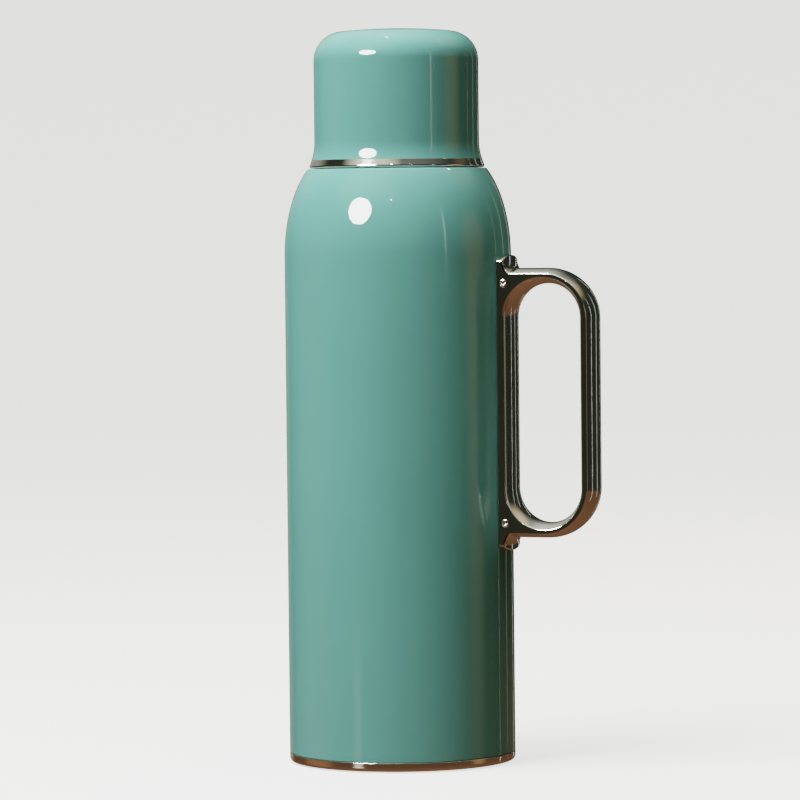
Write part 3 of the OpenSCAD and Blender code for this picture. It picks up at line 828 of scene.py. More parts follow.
    def base(self) -> None:
        """The plastic base cover and the grooved rubber pad the flask stands on."""
        r, foot, low_face = self.body_radius, self.ring_foot, self.cover_foot
        lip, rest = foot + self.ring_floor + self.play, self.body_radius - self.ring_lip - 0.1
        edge, pad, top = r - 3.5, r - self.pad_inset, self.pad_thick
        o = Outline().to(0, low_face).to(pad, low_face, 0.2).to(pad, foot, 0.12).to(rest, foot, 0.3)
        o.to(rest, lip, 0.1).to(edge, lip, 0.1).to(edge, lip + self.cover_wall, 0.3)
        o.to(0, lip + self.cover_wall)
        turned("base_disc", o, Body.FLASK, "base_cover", GREY_PLASTIC, False)
        o = Outline().to(0, 0)
        for middle in (r - inset for inset in self.groove_insets):
            inner, outer = middle - self.groove_half, middle + self.groove_half
            o.to(inner, 0, 0.2).to(inner, self.groove_depth, 0.2)
            o.to(outer, self.groove_depth, 0.2).to(outer, 0, 0.2)
        o.to(pad - 0.1, 0, 0.35).to(pad - 0.1, top, 0.2).to(0, top)
        turned("rubber_pad", o, Body.FLASK, "foot_pad", PAD_RUBBER, False)

    def collar(self) -> None:
        """The threaded collar and its washer."""
        bore, foot, top = self.neck_outer + 0.1, LEDGE + self.collar_foot, self.lip - self.collar_drop
        root, flange, soft = self.collar_radius, self.collar_radius + self.collar_foot_out, bore + 1
        o = Outline().to(bore, foot + 1).to(soft, foot).to(flange, foot, 0.25).to(flange, foot + 1.6, 0.5)
        o.to(root, foot + 1.8, 0.5).to(root, top, 0.9).to(bore, top, 0.4)
        thread = Thread(root, root + self.collar_ridge, LEDGE + 6.2, 150, Side.OUTSIDE)
        turned("threaded_collar", o, Body.FLASK, "neck_collar", GREY_PLASTIC, True, thread.ridges())
        out = root + self.washer_out
        o = Outline().to(soft, LEDGE, 0.2).to(out, LEDGE, 0.3).to(out, foot, 0.3).to(soft, foot, 0.2)
        turned("soft_washer", o, Body.FLASK, "collar_washer", SILICONE)


# ---- The handle -------------------------------------------------------------------------


@dataclass
class Handle:
    """The cast handle: a closed loop with webs and tongues against the shell, and its screws."""

    side: float = 2.3
    inner_swell: float = 2.7
    outer_swell: float = 2.1
    tongue: float = 8.0
    cove_width: float = 3.4
    cove_height: float = 5.8
    tip_rise: float = 2.8
    tip_radius: float = 0.7
    web_angles: tuple[float, float] = (128, 138)
    steps: tuple[int, ...] = (40, 56, 30, 24, 6, 9, 39, 41)
    edge: float = 0.5
    back_gap: float = 1.9
    saddle: float = 52.15
    screw_drop: float = 12.75
    screw_reach: float = 54.2
    head_radius: float = 1.9

    def __post_init__(self) -> None:
        """Works the loop out from the box of the CAD handle."""
        bottom, top = low("handle"), high("handle")
        self.half = (top.y - bottom.y) / 2
        self.top = top.z
        self.bottom = bottom.z
        self.arm = self.top - self.tongue
        self.opening_top = self.arm - self.side
        self.back = self.saddle - 0.15 + self.back_gap
        self.front = top.x - self.outer_swell
        self.bend = (self.front - self.side - self.back) / 2
        self.bend_x = self.back + self.bend
        self.bend_z = self.opening_top - self.bend
        self.middle = (self.top + self.bottom) / 2

    def half_outline(self) -> tuple[Array, Array, Array]:
        """The upper half of the loop's two outlines, seen from the side, and the outer one's swell.

        The outer outline runs up the front bar, round the bend, back along the arm, up the cove and
        the tongue, over the tip and down the shell to the middle. The inner one is a slot with
        round ends, with as many points. The swell is how far each outer point moves at the middle
        of the handle's width: along its own normal on the bar, and straight out on the tongue. The
        steps are the points on each stretch: front bar, bend, arm, cove, tongue, tip's corner, back
        down to the bend, and back down to the middle. The web angles are where, on the slot's end,
        the cove starts and the tip ends.

        Returns:
            The outer points, the inner points and the outer swells, in millimetres.
        """
        def line(a: Sequence[float], b: Sequence[float], steps: int) -> Array:
            """Points on a straight line, without the last one."""
            return np.linspace(a, b, steps, endpoint=False)

        def even(x: float, z: float, count: int) -> Array:
            """The same swell for each of a row of points."""
            return np.tile([x, z], (count, 1))

        bar, bend, arm, cove, rise, tip, back, rest = self.steps
        r_out = self.bend + self.side
        centre = (self.bend_x, self.bend_z)
        cove_x, cove_z = self.back + self.cove_width, self.arm + self.cove_height
        back_x = math.sqrt(self.saddle ** 2 - self.half ** 2)
        tongue_swell = math.hypot(self.back, self.half) - self.back
        round_tip = self.tip_radius
        tip_z = self.top - round_tip
        bend_in = arc(centre, self.bend, self.bend, 0, 90, bend)
        bend_out = arc(centre, r_out, r_out, 0, 90, bend)
        outer = [line((self.front, self.middle), (self.front, self.bend_z), bar), bend_out[:-1],
                 line((self.bend_x, self.arm), (cove_x, self.arm), arm),
                 arc((cove_x, cove_z), self.cove_width, self.cove_height, 270, 180, cove)[:-1],
                 line((self.back, cove_z), (self.back, tip_z), rise),
                 arc((self.back - round_tip, tip_z), round_tip, round_tip, 0, 90, tip - 1),
                 arc((back_x + round_tip, tip_z), round_tip, round_tip, 90, 180, tip - 1),
                 line((back_x, tip_z), (back_x, self.bend_z), back + 1)[1:],
                 line((back_x, self.bend_z), (back_x, self.middle), rest)]
        first, last = self.web_angles
        t = np.radians(np.concatenate([line(90, first, arm), line(first, last, cove + rise + 2 * tip),
                                       line(last, 180, back)]))
        inner_bar = self.front - self.side
        inner = [line((inner_bar, self.middle), (inner_bar, self.bend_z), bar), bend_in[:-1],
                 np.stack([centre[0] + self.bend * np.cos(t), centre[1] + self.bend * np.sin(t)], 1),
                 line((self.back, self.bend_z), (self.back, self.middle), rest)]
        share = np.radians(line(0, 90, cove))
        swell = [even(self.outer_swell, 0, bar), (bend_out[:-1] - centre) / r_out * self.outer_swell,
                 even(0, self.outer_swell, arm),
                 np.stack([tongue_swell * np.sin(share), self.outer_swell * np.cos(share)], 1),
                 even(tongue_swell, 0, rise + tip), even(self.saddle - back_x, 0, tip + back + rest)]
        return np.concatenate(outer), np.concatenate(inner), np.concatenate(swell)

    def loop(self) -> Surface:
        """The handle's whole surface, as a section carried round the loop.

        At each place the section goes over the outer face, round the near edge, down the flat side,
        round the inner edge, under the inner face and back by the far side. A face's point at
        width y is the outline's point plus its swell times 1 - (y / half) squared. Near the tip the
        height shrinks by the arch: rise times 1 - sqrt(1 - (y / half) squared).

        Returns:
            The points and the quads, in metres.
        """
        outer, inner, swell = self.half_outline()
        flip = np.array([1.0, -1.0])
        mirrored = slice(-1, 0, -1)
        centre = np.array([0.0, 2 * self.middle])
        outer = np.concatenate([outer, outer[mirrored] * flip + centre])
        inner = np.concatenate([inner, inner[mirrored] * flip + centre])
        swell = np.concatenate([swell, swell[mirrored] * flip])
        swell_in = -self.normals(inner) * self.inner_swell
        out_normal, in_normal = self.normals(outer), -self.normals(inner)
        e, half = self.edge, self.half
        flat = np.linspace(-1, 1, 29) * (half - e)
        turn = np.radians(np.linspace(0, 90, 7))
        round_y, round_in = half - e + e * np.sin(turn), e * (1 - np.cos(turn))
        cheek = np.array([0.02, 0.06, 0.2, 0.5, 0.8, 0.94, 0.98])
        columns: list[Array] = []

        def face(points: Array, swells: Array, normal: Array, y: float, inward: float, tips: bool) -> None:
            """Adds one column of the grid: the face's points at width y, set back by inward."""
            bulge = 1 - (y / half) ** 2
            column = points + swells * bulge - normal * inward
            if tips:
                column = self.arched(column, y)
            columns.append(np.stack([column[:, 0], np.full(len(column), y), column[:, 1]], 1))

        def sides(sign: float, forward: bool) -> None:
            """Adds the flat side between the two faces' set-back edges."""
            a = self.arched(outer - out_normal * e, sign * half)
            b = inner - in_normal * e
            for share in (cheek if forward else cheek[::-1]):
                column = a * (1 - share) + b * share
                columns.append(np.stack([column[:, 0], np.full(len(column), sign * half), column[:, 1]], 1))

        for y in flat:
            face(outer, swell, out_normal, y, 0.0, True)
        for y, inward in zip(round_y[1:], round_in[1:]):
            face(outer, swell, out_normal, y, inward, True)
        sides(1.0, True)
        for y, inward in zip(round_y[:0:-1], round_in[:0:-1]):
            face(inner, swell_in, in_normal, y, inward, False)
        for y in flat[::-1]:
            face(inner, swell_in, in_normal, y, 0.0, False)
        for y, inward in zip(round_y[1:], round_in[1:]):
            face(inner, swell_in, in_normal, -y, inward, False)
        sides(-1.0, False)
        for y, inward in zip(round_y[:0:-1], round_in[:0:-1]):
            face(outer, swell, out_normal, -y, inward, True)
        points = np.stack(columns, 1) * MM
        return points.reshape(-1, 3), grid_quads(points.shape[0], points.shape[1], True, True)

    def arched(self, column: Array, y: float) -> Array:
        """Lowers the tongues' ends towards the sides, by the arch at width y."""
        drop = self.tip_rise * (1 - math.sqrt(max(0.0, 1 - (y / self.half) ** 2)))
        out = column.copy()
        start = self.arm + 0.25 * self.cove_height
        reach = self.top - start
        up = np.clip((column[:, 1] - start) / reach, 0, 1)
        down = np.clip((2 * self.middle - column[:, 1] - start) / reach, 0, 1)
        out[:, 1] += drop * (down ** 2 - up ** 2)
        return out

    @staticmethod
    def normals(points: Array) -> Array:
        """Unit normals of a closed outline that runs anticlockwise, pointing out of it."""
        step = np.roll(points, -1, 0) - np.roll(points, 1, 0)
        normal = np.stack([step[:, 1], -step[:, 0]], 1)
        return normal / np.linalg.norm(normal, axis=1, keepdims=True)

    def build(self) -> None:
        """Builds the handle with its screw pockets, and the two screws."""
        mesh = make_mesh("handle_loop", [self.loop()])
        piece = add_piece("handle_loop", mesh, Body.FLASK, "handle", BRIGHT_CHROME)
        heights = {"upper_screw": self.top - self.screw_drop, "lower_screw": self.bottom + self.screw_drop}
        for z in heights.values():
            cut(piece, self.pocket(z))
        for name, z in heights.items():
            screw = make_mesh(f"{name}_head", [self.screw(z)])
            add_piece(f"{name}_head", screw, Body.FLASK, name, SCREW_STEEL)
        for node in ("upper_bracket", "lower_bracket"):
            dress(node, STEEL)

    def pocket(self, z: float) -> Surface:
        """The round pocket that a screw's head sits in: a short drum that runs out of the side."""
        drum = Outline().to(0, -2).to(self.head_radius + 0.2, -2).to(self.head_radius + 0.2, 1.5).to(0, 1.5)
        points, quads = revolve(drum.points(False), False, 64)
        return self.across(points, z), quads

    def across(self, points: Array, z: float) -> Array:
        """Turns a shape that stands along +Z so that it runs into the near side at the given height."""
        x, y, depth = points.T
        return np.stack([x + self.screw_reach * MM, depth - self.half * MM, z * MM - y], 1)

    def screw(self, z: float) -> Surface:
        """A pan-head screw with a cross recess.

        The head is a profile of revolution, and the recess lowers its top: where the smaller of
        |x| and |y| is under half the slot's width and the larger one under its length, the depth is
        full, and smooth steps lead out of it.

        Args:
            z: Height of the screw's axis.

        Returns:
            The points and the quads, in metres.
        """
        head, shank = self.head_radius, 1.0
        top = np.linspace(0, head - 0.35, 34)
        dome = -0.12 * (1 - (top / head) ** 2)
        o = Outline().along(np.stack([top, dome + 0.05], 1))
        o.to(head, 0.12, 0.3).to(head, 1.2, 0.12).to(shank, 1.2).to(shank, 14.2, 0.4).to(0, 14.6)
        points, quads = revolve(o.points(False), False, 128)
        x, y, depth = (points / MM).T
        turn = math.radians(20)
        u, v = x * math.cos(turn) - y * math.sin(turn), x * math.sin(turn) + y * math.cos(turn)
        narrow, wide = np.minimum(abs(u), abs(v)), np.maximum(abs(u), abs(v))
        slot = 1 / (1 + np.exp((narrow - 0.26) / 0.035)) * np.clip((1.25 - wide) / 0.3, 0, 1)
        heart = np.clip(1 - np.hypot(u, v) / 0.7, 0, 1)
        on_top = (depth < 0.1) & (np.hypot(x, y) < head - 0.3)
        sunk = points.copy()
        sunk[:, 2] += np.where(on_top, 0.55 * slot + 0.25 * heart, 0) * MM
        return self.across(sunk, z), quads


# ---- The stopper ------------------------------------------------------------------------


@dataclass
class Stopper:
    """The pouring stopper: plug, ribbed head, lid, push button, spring and valve."""

    barrel: float = 24.2
    crest: float = 25.5
    nose: float = 20.5
    nose_wall: float = 3.0
    orifice: float = 10.5
    boss: float = 4.0
    spring_seat: float = 6.0
    stem: float = 2.0
    head_radius: float = 28.0
    head_wall: float = 2.5
    flange: float = 2.0
    ribs: int = 24
    rib: float = 0.8
    lid_radius: float = 26.3
    lid_wall: float = 2.4
    sleeve_wall: float = 1.8
    spout: float = 18.0
    floor: float = 2.0
    seal_rise: float = 0.95
    gap: float = 0.05
    rib_steps: int = 14
    spoke_angles: tuple[float, ...] = (0.0, 120.0, 240.0)
    spoke_half: float = 1.2
    vent_half: float = 3.0
    dish_inset: float = 3.4
    hub_radius: float = 3.6
    disc: float = 2.2
    head_lift: float = 0.3
    roof_wall: float = 3.0
    sleeve_play: float = 0.25
    socket_drop: float = 7.0
    groove_drop: float = 4.0
    groove_height: float = 1.5
    groove_depth: float = 1.0
    spring_radius: float = 5.0
    wire: float = 0.5
    coils: int = 7
    coil_steps: int = 48

    def __post_init__(self) -> None:
        """Takes the heights and the button's radius from the CAD nodes."""
        self.foot, self.head_top = low("stopper_body").z, high("stopper_body").z
        self.head_foot = high("inner_bottle").z + self.head_lift
        self.flange_top = self.head_foot + self.flange
        self.button_radius = high("push_button").y
        self.button_top, self.skirt = high("push_button").z, low("push_button").z
        self.roof = self.button_top - self.roof_wall
        self.bore = self.button_radius + self.sleeve_play
        self.sleeve_foot = low("stopper_cover").z
        self.boss_top = LEDGE + 0.5
        self.socket_foot = self.head_top - self.socket_drop
        self.groove_top = self.head_top - self.groove_drop
        self.groove_foot = self.groove_top - self.groove_height

    def build(self) -> None:
        """Builds every piece of the stopper."""
        self.plug()
        self.lid()
        self.button()
        self.spring()
        self.valve()
        self.seals()

    def ribbed(self, surface: Surface) -> Surface:
        """Raises the ribs on the head's outer face.

        A point at angle t moves out by rib times the square root of 1 - (d / w) squared, where d is
        its distance round the head from the nearest rib's middle and w is 1.15 times rib. The ribs
        fade near both ends.
        """
        points, quads = surface
        x, y, z = (points / MM).T
        r, t = np.hypot(x, y), np.arctan2(y, x)
        spacing = TURN / self.ribs
        away = np.abs((t / spacing) % 1 - 0.5) * spacing * self.head_radius
        height = self.rib * np.sqrt(np.clip(1 - (away / (1.15 * self.rib)) ** 2, 0, 1))
        ends = np.minimum(z - self.flange_top - 0.2, self.head_top - 0.7 - z)
        fade = np.clip(ends / 0.8, 0, 1) * (r > self.head_radius - self.gap)
        grow = 1 + height * np.sqrt(fade) / np.maximum(r, 1)
        return np.stack([x * grow, y * grow, z], 1) * MM, quads

    def plug(self) -> None:
        """The plug: nose, barrel with its thread, flange, ribbed head, boss and three spokes.

        The spout and the vent are cut out of the head with rounded bars.
        """
        seal_top, flange_top, top = LEDGE + self.seal_rise, self.flange_top, self.head_top
        nose, barrel, head = self.nose, self.barrel, self.head_radius
        cheek, hollow, inner = head - self.head_wall, barrel - 2.7, nose - self.nose_wall
        neck, floor = head + 1.5, self.foot + self.floor
        shelf, rim = top - self.lid_wall, self.lid_radius + self.gap
        side = np.linspace(flange_top + 0.4, top - 0.9, self.rib_steps)
        o = Outline().to(nose, self.foot, 0.9).to(nose, seal_top, 0.1).to(barrel, seal_top, 0.5)
        o.to(barrel, self.head_foot, 0.4).to(neck, self.head_foot, 0.5).to(neck, flange_top, 0.8)
        o.to(head, flange_top, 0.15).along(np.stack([np.full(self.rib_steps, head), side], 1))
        o.to(head, top, 0.6).to(rim, top, 0.1).to(rim, shelf)
        o.to(cheek, shelf, 0.2).to(cheek, flange_top, 0.9).to(hollow, self.head_foot, 0.8)
        o.to(hollow, LEDGE + 4.9, 0.9).to(inner, LEDGE + 2.9, 0.9).to(inner, floor, 0.8)
        o.to(self.orifice, floor, 0.35).to(self.orifice, self.foot, 0.35)
        body = self.ribbed(revolve(o.points(), True, self.rib_steps * self.ribs))
        thread = Thread(barrel, self.crest, LEDGE + 8.5, 150, Side.OUTSIDE)
        mesh = make_mesh("stopper_plug", [body, self.guide(), *thread.ridges(), *self.spokes()])
        piece = add_piece("stopper_plug", mesh, Body.STOPPER, "stopper_body", GREY_PLASTIC)
        half, out, sill = self.spout / 2, head + 4, flange_top + 0.1
        cut(piece, chamfered_bar((-out, -half, sill), (-cheek + 2.5, half, flange_top + 9), 0.8))
        vent = self.vent_half
        cut(piece, chamfered_bar((cheek - 1.5, -vent, sill), (out, vent, flange_top + 5), 0.8))

    def guide(self) -> Surface:
        """The boss that guides the stem, with the spring's seat on top."""
        bore, seat, foot = self.stem + 0.2, self.boss_top, self.foot + 1
        o = Outline().to(bore, foot, 0.2).to(self.boss, foot, 0.3).to(self.boss, seat - 2, 0.5)
        o.to(self.spring_seat, seat - 2, 0.4).to(self.spring_seat, seat, 0.4).to(bore, seat, 0.3)
        return revolve(o.points())

    def spokes(self) -> list[Surface]:
        """The bars that carry the boss, each the first one turned by its angle."""
        half, foot = self.spoke_half, self.foot + 1
        spoke, quads = chamfered_bar((3, -half, foot), (self.orifice + 2, half, foot + 4), 0.4)
        turns = (np.array(Matrix.Rotation(math.radians(angle), 3, "Z")) for angle in self.spoke_angles)
        return [(spoke @ turn.T, quads) for turn in turns]

    def lid(self) -> None:
        """The lid: a shallow dish round the button, with the sleeve and its groove below."""
        top, under, bore = self.head_top, self.head_top - self.lid_wall + self.gap, self.bore
        sleeve = bore + self.sleeve_wall
        o = Outline().to(bore, top, 0.4).to(bore + 2.6, top, 0.35).to(bore + 3.2, top - 0.4, 0.4)
        o.to(self.lid_radius - 2, top - 0.4, 0.4).to(self.lid_radius - 1.5, top, 0.3)
        o.to(self.lid_radius, top, 0.4).to(self.lid_radius, under, 0.15).to(sleeve, under, 0.6)
        o.to(sleeve, self.sleeve_foot, 0.4).to(bore, self.sleeve_foot, 0.4)
        groove = bore + self.groove_depth
        o.to(bore, self.groove_foot, 0.1).to(groove, self.groove_foot, 0.1)
        o.to(groove, self.groove_top, 0.1).to(bore, self.groove_top, 0.1)
        turned("stopper_lid", o, Body.STOPPER, "stopper_cover", GREY_PLASTIC)

    def button(self) -> None:
        """The push button: a dished top with a round shoulder, a skirt and a socket for the stem."""
        r, top, roof = self.button_radius, self.button_top, self.roof
        inner = r - self.dish_inset
        hub, wall, edge = self.spring_radius + 2.2, r - 1.6, 2.0
        dish = np.linspace(inner, 0, 20)
        o = Outline().to(0, roof).to(self.stem, roof).to(self.stem, self.socket_foot, 0.2)
        o.to(hub, self.socket_foot, 0.4).to(hub, roof, 0.5).to(wall, roof - 0.4, 0.6)
        o.to(wall, self.skirt, 0.25).to(r, self.skirt, 0.35)
        o.along(arc((r - edge, top - edge - 0.4), edge, edge, 0, 78, 16))
        o.along(np.stack([dish, top - 0.8 + 0.45 * (dish / inner) ** 2], 1))
        turned("release_button", o, Body.BUTTON, "push_button", GREEN_PLASTIC, False)

    def spring(self) -> None:
        """The return spring: a helix whose rise slows at both ends, where real coils close up.

        Height over share s of the length is foot + rise (s - 0.06 sin(2 pi s)), so that the slope at
        the ends is lower than in the middle.
        """
        foot, top = self.boss_top + self.wire + self.gap, self.socket_foot - self.wire - self.gap
        share = np.linspace(0, 1, self.coils * self.coil_steps + 1)
        turn = share * self.coils * TURN
        height = foot + (top - foot) * (share - 0.06 * np.sin(TURN * share))
        path = np.stack([self.spring_radius * np.cos(turn), self.spring_radius * np.sin(turn), height], 1)
        mesh = make_mesh("return_spring", [tube(path * MM, self.wire * MM)])
        ends = (Body.BUTTON, Vector((0, 0, foot)) * MM, Vector((0, 0, top)) * MM)
        add_piece("return_spring", mesh, Body.STOPPER, "button_spring", SCREW_STEEL, ends)

    def valve(self) -> None:
        """The valve: the steel stem, the disc with its hub, and the soft ring on it."""
        foot, seal_top, hub = low("valve_disc").z, high("valve_seal").z, self.hub_radius
        disc_top, out, stem = foot + self.disc, high("valve_disc").y, self.stem
        o = Outline().to(0, foot + 1).to(stem, foot + 1, 0.3).to(stem, self.roof, 0.4).to(0, self.roof)
        turned("steel_stem", o, Body.BUTTON, "valve_stem", SCREW_STEEL, False)
        o = Outline().to(0, foot).to(out, foot, 0.7).to(out, disc_top, 0.25).to(hub, disc_top, 0.3)
        o.to(hub, seal_top, 0.3).to(stem, seal_top, 0.1).to(stem, foot + 1).to(0, foot + 1)
        turned("moulded_disc", o, Body.BUTTON, "valve_disc", GREY_PLASTIC, False)
        inner = self.orifice - 1
        o = Outline().to(inner, disc_top, 0.3).to(out, disc_top, 0.3).to(out, seal_top, 0.6)
        o.to(inner, seal_top, 0.4)
        turned("soft_valve_ring", o, Body.BUTTON, "valve_seal", SILICONE)

    def seals(self) -> None:
        """The ring that seals the plug on its conical seat, and the ring round the button."""
        inner, seat, out = self.nose + self.gap, low("stopper_seal").z, self.barrel + 0.2
        throat, top = self.barrel - 0.6, LEDGE + self.seal_rise - self.gap
        rise = (out - throat) * 2 / 2.4
        o = Outline().to(inner, seat, 0.2).to(throat, seat, 0.4).to(out, seat + rise, 0.4)
        o.to(out, top, 0.4).to(inner, top, 0.2)
        turned("plug_seal", o, Body.STOPPER_THREAD, "stopper_seal", SILICONE)
        inner, out = self.button_radius + 0.1, self.bore + self.groove_depth - self.gap
        foot, top = self.groove_foot + self.gap, self.groove_top - self.gap
        o = Outline().to(inner, foot, 0.45).to(out, foot, 0.3).to(out, top, 0.3).to(inner, top, 0.45)
        turned("sleeve_ring", o, Body.STOPPER, "button_seal", SILICONE)


# ---- The cup ----------------------------------------------------------------------------


@dataclass
class Cup:
    """The screw-on cup: painted shell, moulded liner and bright rim."""

    wall: float = 0.6
    corner: float = 13.5
    crown: float = 1.1
    flare: float = 1.4
    flare_rise: float = 8.4
    liner_wall: float = 1.5
    spigot: float = 0.6
    mouth: float = 35.9
    spigot_rise: float = 4.0
    gap: float = 0.05
    last_angle: float = 84.0

    def __post_init__(self) -> None:
        """Takes the cup's height and radius from the CAD nodes."""
        self.top = high("cup_shell").z
        self.foot = low("cup_shell").z
        self.radius = high("cup_shell").y - self.flare
        self.rim_foot = low("cup_rim").z
        self.rim_top = self.foot - self.gap
        self.rim_radius = high("cup_rim").y

    def wall_line(self, inset: float) -> Array:
        """The cup's side from the foot up to the middle of the top, at a distance inside the paint.

        The foot flares out on a large circle that leaves the cylinder without a kink. The top
        corner is an ellipse arc that runs into a crown, whose height falls as the square of the
        radius.

        Args:
            inset: How far inside the painted face the line lies.

        Returns:
            Points (r, z) in millimetres.
        """
        bend = (self.flare_rise ** 2 + self.flare ** 2) / (2 * self.flare)
        turn = math.degrees(math.asin(self.flare_rise / (bend + inset)))
        flare = arc((self.radius + bend, self.foot + self.flare_rise), bend + inset, bend + inset,
                    180 + turn, 180, 20)
        middle = (self.radius - self.corner, self.top - self.crown - self.corner)
        corner = arc(middle, self.corner - inset, self.corner - inset, 0, self.last_angle, 40)
        r_end, z_end = corner[-1]
        r = np.linspace(r_end, 0, 25)[1:]
        crown = z_end + (self.top - inset - z_end) * (1 - (r / r_end) ** 2)
        return np.concatenate([flare, corner, np.stack([r, crown], 1)])

    def build(self) -> None:
        """Builds the cup's pieces."""
        line = np.concatenate([self.wall_line(0)[::-1], self.wall_line(self.wall)]) * MM
        mesh = make_mesh("cup_painted", [revolve(line, False)])
        add_piece("cup_painted", mesh, Body.CUP, "cup_shell", GREEN_ENAMEL)
        self.rim()
        self.liner()

    def rim(self) -> None:
        """The bright rim: a bead below, a slightly sloping band, and a spigot inside the shell."""
        foot, top, spigot_top = self.rim_foot, self.rim_top, self.rim_top + self.spigot_rise
        spigot_out = self.radius - self.wall
        spigot_in = spigot_out - self.spigot
        o = Outline().to(self.mouth, foot, 0.5).to(self.rim_radius, foot, 0.8)
        o.to(self.radius + self.flare, top, 0.12).to(spigot_out, top, 0.1).to(spigot_out, spigot_top, 0.2)
        o.to(spigot_in, spigot_top, 0.2).to(spigot_in, top, 0.1).to(self.mouth, top, 0.15)
        turned("cup_bright_rim", o, Body.CUP_THREAD, "cup_rim", RING_CHROME)

    def liner(self) -> None:
        """The moulded liner with its thread and a softly domed top, like the shell's but smaller."""
        outer, wall = self.radius - self.wall - self.spigot - 0.1, self.liner_wall
        bend, top = self.corner - self.wall, self.top - 0.9
        middle = (outer - bend, top - self.crown - bend)
        r = np.linspace(0, middle[0], 20, endpoint=False)
        skirt = arc(middle, bend, bend, self.last_angle, 0, 32)
        inside = arc(middle, bend - wall, bend - wall, 0, self.last_angle, 32)
        dome = np.stack([r, top - (top - skirt[0][1]) * (r / middle[0]) ** 2], 1)
        o = Outline().along(dome).along(skirt).to(outer, self.foot, 0.12)
        o.to(outer - wall, self.foot, 0.45).along(inside).along((dome - [0, wall])[::-1])
        thread = Thread(outer - wall, outer - wall - 1.5, LEDGE + 8.7, 75, Side.INSIDE, phase=30)
        turned("cup_lining", o, Body.CUP, "cup_liner", LINER_PLASTIC, False, thread.ridges())


# ---- The studio -------------------------------------------------------------------------


class Role(Enum):
    """What a lamp is for: soft light that no surface mirrors, or a shape that is only mirrored."""

    SOFT = "soft"
    MIRRORED = "mirrored"


@dataclass(frozen=True)
class Lamp:
    """An area lamp on a sphere around the flask.

    Attributes:
        name: Name of the lamp.
        azimuth: Degrees to the right of the camera, seen from the flask.
        elevation: Degrees above the horizon.
        size: Width and height in metres.
        strength: For a soft lamp, how bright a white surface that faces it gets. For a mirrored
            one, its own brightness.
        role: What the lamp is for.
        distance: Metres from the flask's middle.
        colour: Colour of the light.
    """

    name: str
    azimuth: float
    elevation: float
    size: tuple[float, float]
    strength: float
    role: Role
    distance: float = 1.6
    colour: Colour = (1.0, 1.0, 1.0)

    def watts(self) -> float:
        """Power: pi squared, distance squared, strength; or pi, area, brightness for a mirrored lamp."""
        if self.role is Role.SOFT:
            return math.pi ** 2 * self.distance ** 2 * self.strength
        return math.pi * self.size[0] * self.size[1] * self.strength


LAMPS = (
    Lamp("window_light", -60, 62, (0.9, 0.9), 1.02, Role.SOFT),
    Lamp("key_light", -45, 34, (0.7, 0.5), 0.4, Role.SOFT),
    Lamp("ceiling_light", 0, 88, (1.0, 1.0), 0.32, Role.SOFT),
    Lamp("floor_bounce", -15, -20, (1.0, 0.6), 0.10, Role.SOFT, colour=(1.0, 0.8, 0.62)),
    Lamp("back_light", 150, 8, (0.5, 1.0), 0.15, Role.SOFT, colour=(1.0, 0.62, 0.38)),
    Lamp("key_mirrored", -42, 27.5, (0.66, 0.50), 40.0, Role.MIRRORED),
    Lamp("spot_above", -100, 84, (0.07, 0.07), 90.0, Role.MIRRORED),
    Lamp("spot_right", 98, 53, (0.06, 0.06), 60.0, Role.MIRRORED),
    Lamp("spot_front", -7, 37, (0.03, 0.03), 60.0, Role.MIRRORED),
    Lamp("spot_front_right", 18, 35, (0.02, 0.02), 50.0, Role.MIRRORED),
    Lamp("strip_right", 49, 14, (0.05, 0.8), 1.8, Role.MIRRORED),
    Lamp("door_gap", 117, 2, (0.012, 1.3), 1.5, Role.MIRRORED),
    Lamp("far_window", 134, 4, (0.05, 1.0), 0.5, Role.MIRRORED),
    Lamp("far_gap", 156, 2, (0.016, 1.3), 2.2, Role.MIRRORED),
)


